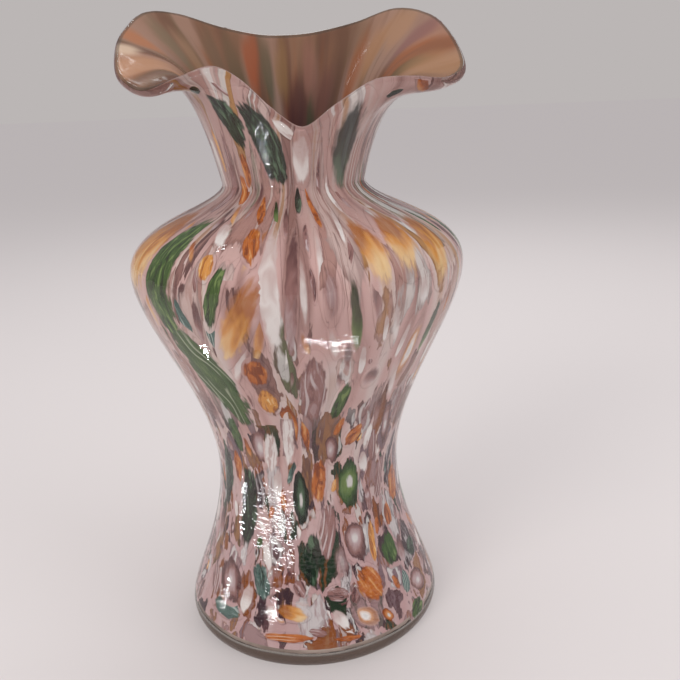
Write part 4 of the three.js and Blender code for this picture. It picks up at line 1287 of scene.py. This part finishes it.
class Field:
    """Which parts of the wall are taken by chips, in cells of TURN degrees by RISE millimetres."""
    TURN, RISE, ROWS, COLUMNS = 0.5, 0.75, 440, 720

    def __init__(self, wall):
        self.wall = wall
        self.taken = np.zeros((self.ROWS, self.COLUMNS), bool)

    def cells(self, chip, margin):
        """The rows and columns of a chip and a margin round it."""
        azimuth, up, length, width, lean = chip[:5]
        radius = self.wall.line(azimuth, float(self.wall.place_at(azimuth, up)))[0] + self.wall.half
        reach, wide = length / 2 + margin, width / 2 + margin
        span = int(math.degrees(max(reach, wide) / radius) / self.TURN) + 2
        height = int(max(reach, wide) / self.RISE) + 2
        columns = np.arange(-span, span + 1) + int(azimuth / self.TURN)
        rows = np.arange(-height, height + 1) + int(up / self.RISE)
        column, row = np.meshgrid(columns, rows)
        aside = np.radians(column * self.TURN - azimuth) * radius
        rise = row * self.RISE - up
        turn = math.radians(lean)
        across = aside * math.cos(turn) - rise * math.sin(turn)
        along = aside * math.sin(turn) + rise * math.cos(turn)
        own = ((across / wide) ** 2 + (along / reach) ** 2 < 1) & (row >= 0) & (row < self.ROWS)
        return row[own], column[own] % self.COLUMNS

    def crowding(self, chip, margin):
        """The share of a chip's cells that is taken already."""
        cells = self.cells(chip, margin)
        return self.taken[cells].mean() if len(cells[0]) else 1.0

    def take(self, chip, margin):
        """Mark a chip and a margin round it as taken."""
        self.taken[self.cells(chip, margin)] = True


def scattered_chip(wall, dice, breadth):
    """A small chip at a random place, drawn out as the glass is there, or None if it passes an end."""
    azimuth = dice.uniform(0, FULL_TURN)
    highest = float(wall.up_at(azimuth, wall.edge_place(azimuth, LIP_CLEARANCE)))
    up = dice.uniform(MIDDLES_FROM_ENDS[0], highest - MIDDLES_FROM_ENDS[1])
    width = np.interp(up, SMALL_AT, SMALL_WIDTH) * breadth * dice.uniform(*WIDTHS_FROM_TO)
    length = min(width * np.interp(up, DRAWN_AT, DRAWN) * dice.uniform(*DRAWING_FROM_TO), LONGEST_SMALL)
    lean = dice.normal(0, np.interp(up, SMALL_AT, SMALL_LEAN))
    reach = length / 2 / RIM
    odds = np.array([np.interp(up, SMALL_AT, row) for row in SMALL_KINDS.values()])
    kind = list(SMALL_KINDS)[dice.choice(len(odds), p=odds / odds.sum())]
    style_odds = np.array([np.interp(up, tuple(SMALL_STYLE_ODDS), column)
                           for column in zip(*SMALL_STYLE_ODDS.values())])
    style = SMALL_STYLES[dice.choice(len(style_odds), p=style_odds / sum(style_odds))]
    bow = dice.normal(0, SMALL_BOW)
    lowest = up - reach * abs(math.cos(math.radians(lean)))
    if lowest < ENDS_FROM_ENDS[0] or up + reach > highest - ENDS_FROM_ENDS[1]:
        return None
    return azimuth, up, length, width, lean, bow, kind, style


class VASE_OT_small_chips(bpy.types.Operator):
    """Add the small chips that fill the ground between the large ones, one piece for each kind of glass"""
    bl_idname = "vase.small_chips"
    bl_label = "Small Chips"
    bl_options = {"REGISTER", "UNDO"}

    def execute(self, context):
        wall = Wall(context.scene.vase_sizes)
        materials = chip_materials(context.scene.vase_colours)
        field = Field(wall)
        chips = [(azimuth, up, long, width, lean, 0, kind, style)
                 for azimuth, up, long, width, lean, kind, style in PLACED_CHIPS]
        for chip in [tuple(chip) for name, *chip in CHIPS] + chips:
            field.take(chip, PLACED_MARGIN)
        dice = np.random.default_rng(SCATTER_SEED)
        for tries, breadth, crowding in SCATTER:
            for attempt in range(tries):
                chip = scattered_chip(wall, dice, breadth)
                if chip and field.crowding(chip, SCATTERED_MARGIN) < crowding:
                    field.take(chip, SCATTERED_MARGIN)
                    chips.append(chip)
        template = lens_template(*SMALL_DETAIL)
        unit = shape_numbers(template)
        faces = [tuple(face.vertices) for face in template.polygons]
        for kind in KINDS:
            parts = [bend_chip(wall, unit, chip, seed, SMALL_DEPTHS, 1.0)
                     for seed, chip in enumerate(chips, FIRST_SMALL_GRAIN) if chip[-2] == kind]
            numbers = {key: np.concatenate([part[key] for part in parts]) for key in parts[0]}
            mesh = bpy.data.meshes.new("small_" + kind + "_chips")
            mesh.from_pydata(numbers["co"], [], [tuple(corner + number * len(unit) for corner in face)
                                                 for number in range(len(parts)) for face in faces])
            mesh.polygons.foreach_set("use_smooth", np.ones(len(mesh.polygons), bool))
            finish_chips(context, mesh.name, mesh, numbers, kind, materials[kind])
        return {"FINISHED"}


# The stage

# Lamps: name, place, size in metres, how wide the light spreads in degrees, power in watts, colour
LAMPS = (
    ("key_softbox", (-0.75, -0.75, 0.75), (0.5, 0.7), 140, 3.35, (1, 0.985, 0.96)),
    ("fill_softbox", (0.9, -0.5, 0.5), (0.6, 0.5), 140, 1.56, (0.97, 0.98, 1)),
    ("back_softbox", (0.2, 0.7, 1.0), (0.8, 0.8), 180, 3.0, (1, 1, 1)),
    ("top_softbox", (0.1, 0.1, 1.1), (0.7, 0.7), 180, 1.0, (1, 1, 1)),
)
LIT_POINT = (0, 0, 0.14)

# Bright cards that only the gloss of the glass shows, from their front: name, place, the point each faces,
# size in metres, glow, how fine its flecks are, and how flat
CARDS = (
    ("hip_card", (-0.0615, -0.079, 0.0503), (-0.01, -0.01, 0.0), (0.078, 0.010), 34.0, 110, 9.0),
    ("foot_card", (-0.074, -0.107, 0.0285), (0, 0, -0.18), (0.026, 0.012), 30.0, 110, 2.0),
    ("belly_card", (0.053, -0.140, 0.014), (0.077, -0.202, 0.088), (0.108, 0.013), 80.0, 220, 0.6),
    ("left_card", (-0.172, -0.030, 0.006), (-0.038, -0.056, 0.150), (0.018, 0.010), 60.0, 150, 1.0),
    ("neck_card", (-0.118, -0.187, 0.154), (-0.128, -0.201, 0.2525), (0.018, 0.026), 150.0, 300, 1.0),
    ("lip_card", (-0.118, 0.065, 0.412), (-0.055, -0.020, 0.250), (0.070, 0.007), 14.0, 60, 1.0),
)
CARD_COLOUR = tone(244, 248, 250)
DIM_SHARE = 0.02

# The floor: its width, how far it lies under the vase, and its colour
FLOOR_SIZE = 60
FLOOR_DROP = 0.0001
FLOOR_COLOUR = tone(207, 201, 200)

# The surroundings' colour and strength: of their light, as the camera sees them, and in the gloss
ROOM_LIGHT = (tone(240, 239, 241), 0.9)
ROOM_SEEN = (tone(187, 182, 181), 1.0)
ROOM_GLOSS = (tone(232, 232, 236), 0.3)

# The camera: its place, and its turn to the right, tilt down and roll, in degrees; its sensor, in mm, and its
# focal length and picture width, in pixels
CAMERA_PLACE = (0, -0.342, 0.240)
CAMERA_TURNS = (2.96, 17.2, -2.18)
SENSOR = 36
FOCAL_PIXELS = 760
PICTURE_PIXELS = 680


def add_lamp(name, place, size, spread, power, colour):
    """A soft lamp that lights the vase and the floor and is never seen itself."""
    light = bpy.data.lights.new(name, "AREA")
    light.shape = "RECTANGLE"
    light.size, light.size_y = size
    light.spread = math.radians(spread)
    light.energy = power
    light.color = colour
    lamp = bpy.data.objects.new(name, light)
    bpy.context.collection.objects.link(lamp)
    place = Vector(place)
    turn = (Vector(LIT_POINT) - place).to_track_quat("-Z", "Y").to_matrix().to_4x4()
    lamp.matrix_world = Matrix.Translation(place) @ turn
    lamp.visible_camera = False
    lamp.visible_transmission = False
    lamp.visible_glossy = False


def card_glow(name, strength, fineness, flatness):
    """Broken light of a window seen in crinkled glass, on one side only."""
    material = bpy.data.materials.new(name)
    material.use_nodes = True
    nodes = material.node_tree.nodes
    nodes.clear()
    make = Nodes(material.node_tree)
    glow = nodes.new("ShaderNodeEmission")
    glow.inputs["Color"].default_value = CARD_COLOUR
    flecks = make.noise(make.mapped(make.place(), (1, 1, flatness)), fineness, 1.0)
    make.put(glow.inputs["Strength"], make.spread(flecks, 0.47, 0.55, strength * DIM_SHARE, strength))
    sides = nodes.new("ShaderNodeMixShader")
    make.put(sides.inputs[0], nodes.new("ShaderNodeNewGeometry").outputs["Backfacing"])
    make.put(sides.inputs[1], glow.outputs[0])
    make.put(sides.inputs[2], nodes.new("ShaderNodeBsdfTransparent").outputs[0])
    make.put(nodes.new("ShaderNodeOutputMaterial").inputs[0], sides.outputs[0])
    return material


def add_card(name, place, target, size, strength, fineness, flatness):
    """A bright card, level along its width, that faces a point."""
    start_fresh()
    bpy.ops.mesh.primitive_plane_add(size=1)
    card = bpy.context.object
    card.name = card.data.name = name
    place, target = Vector(place), Vector(target)
    turn = (target - place).to_track_quat("Z", "Y").to_matrix()
    across = Vector((0, 0, 1)).cross(turn.col[2]).normalized()
    rise = turn.col[2].cross(across)
    flat = shape_numbers(card.data)
    aside = flat[:, :1] * size[0] * np.array(across)
    points = np.array(place) + aside + flat[:, 1:2] * size[1] * np.array(rise)
    card.data.vertices.foreach_set("co", points.ravel())
    card.data.update()
    card.data.materials.append(card_glow(name + "_glow", strength, fineness, flatness))
    card.visible_camera = False
    card.visible_diffuse = False
    card.visible_transmission = False
    card.visible_shadow = False


def floor_paint():
    """Matt pale paint of the floor."""
    return new_material("floor_paint", MATT | {"Base Color": FLOOR_COLOUR, "Roughness": 1.0})[0]


def add_floor():
    """A wide floor, whose far end is as bright as the surroundings, so that no edge shows behind the vase."""
    start_fresh()
    bpy.ops.mesh.primitive_plane_add(size=FLOOR_SIZE, location=(0, 0, -FLOOR_DROP))
    floor = bpy.context.object
    floor.name = floor.data.name = "floor"
    floor.data.materials.append(floor_paint())


def add_room(scene):
    """Plain surroundings: their light, how the camera and clear glass see them, and how gloss shows them."""
    world = bpy.data.worlds.new("room")
    scene.world = world
    world.use_nodes = True
    nodes = world.node_tree.nodes
    nodes.clear()
    make = Nodes(world.node_tree)
    path = nodes.new("ShaderNodeLightPath")
    shown = make.math("MAXIMUM", path.outputs["Is Camera Ray"], path.outputs["Is Transmission Ray"])
    light, seen, gloss = (nodes.new("ShaderNodeBackground") for part in range(3))
    for node, (colour, strength) in ((light, ROOM_LIGHT), (seen, ROOM_SEEN), (gloss, ROOM_GLOSS)):
        node.inputs["Color"].default_value = colour
        node.inputs["Strength"].default_value = strength
    lower, upper = (nodes.new("ShaderNodeMixShader") for part in range(2))
    output = nodes.new("ShaderNodeOutputWorld")
    for node, values in ((lower, (path.outputs["Is Glossy Ray"], light.outputs[0], gloss.outputs[0])),
                         (upper, (shown, lower.outputs[0], seen.outputs[0])),
                         (output, (upper.outputs[0],))):
        for socket, value in zip(node.inputs, values):
            make.put(socket, value)


def add_camera(scene):
    """The camera at the photograph's viewing angle."""
    camera = bpy.data.objects.new("camera", bpy.data.cameras.new("camera"))
    bpy.context.collection.objects.link(camera)
    camera.data.sensor_width = SENSOR
    camera.data.lens = SENSOR * FOCAL_PIXELS / PICTURE_PIXELS
    camera.data.clip_start = 0.01
    yaw, pitch, roll = (math.radians(angle) for angle in CAMERA_TURNS)
    ahead = Vector((math.sin(yaw) * math.cos(pitch), math.cos(yaw) * math.cos(pitch), -math.sin(pitch)))
    right = Vector((math.cos(yaw), -math.sin(yaw), 0))
    up = right.cross(ahead)
    axis_x = right * math.cos(roll) + up * math.sin(roll)
    axis_y = up * math.cos(roll) - right * math.sin(roll)
    turn = Matrix((axis_x, axis_y, -ahead)).transposed()
    camera.matrix_world = Matrix.Translation(CAMERA_PLACE) @ turn.to_4x4()
    scene.camera = camera


class VASE_OT_stage(bpy.types.Operator):
    """Add the pale floor, the surroundings, the soft lamps, the bright cards and the camera"""
    bl_idname = "vase.stage"
    bl_label = "Stage"
    bl_options = {"REGISTER", "UNDO"}

    def execute(self, context):
        add_floor()
        add_room(context.scene)
        for lamp in LAMPS:
            add_lamp(*lamp)
        for card in CARDS:
            add_card(*card)
        add_camera(context.scene)
        context.scene.view_settings.view_transform = "Standard"
        return {"FINISHED"}


class VASE_PT_panel(bpy.types.Panel):
    """Sizes, colours and steps of the vase"""
    bl_idname = "VASE_PT_panel"
    bl_label = "Torso Vase"
    bl_space_type = "VIEW_3D"
    bl_region_type = "UI"
    bl_category = "Vase"

    def draw(self, context):
        layout = self.layout
        for step in STEPS:
            layout.operator(step.bl_idname)
        for group in (context.scene.vase_sizes, context.scene.vase_colours):
            box = layout.box()
            for key in group.__annotations__:
                box.prop(group, key)


STEPS = (VASE_OT_lining, VASE_OT_casing, VASE_OT_chips, VASE_OT_small_chips, VASE_OT_stage)
CLASSES = (VaseSizes, VaseColours) + STEPS + (VASE_PT_panel,)


def register():
    for part in CLASSES:
        bpy.utils.register_class(part)
    bpy.types.Scene.vase_sizes = bpy.props.PointerProperty(type=VaseSizes)
    bpy.types.Scene.vase_colours = bpy.props.PointerProperty(type=VaseColours)


def unregister():
    del bpy.types.Scene.vase_colours
    del bpy.types.Scene.vase_sizes
    for part in reversed(CLASSES):
        bpy.utils.unregister_class(part)


def main():
    register()
    bpy.ops.vase.lining()
    bpy.ops.vase.casing()
    bpy.ops.vase.chips()
    bpy.ops.vase.small_chips()
    bpy.ops.vase.stage()
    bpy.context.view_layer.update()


if __name__ == "__main__":
    main()
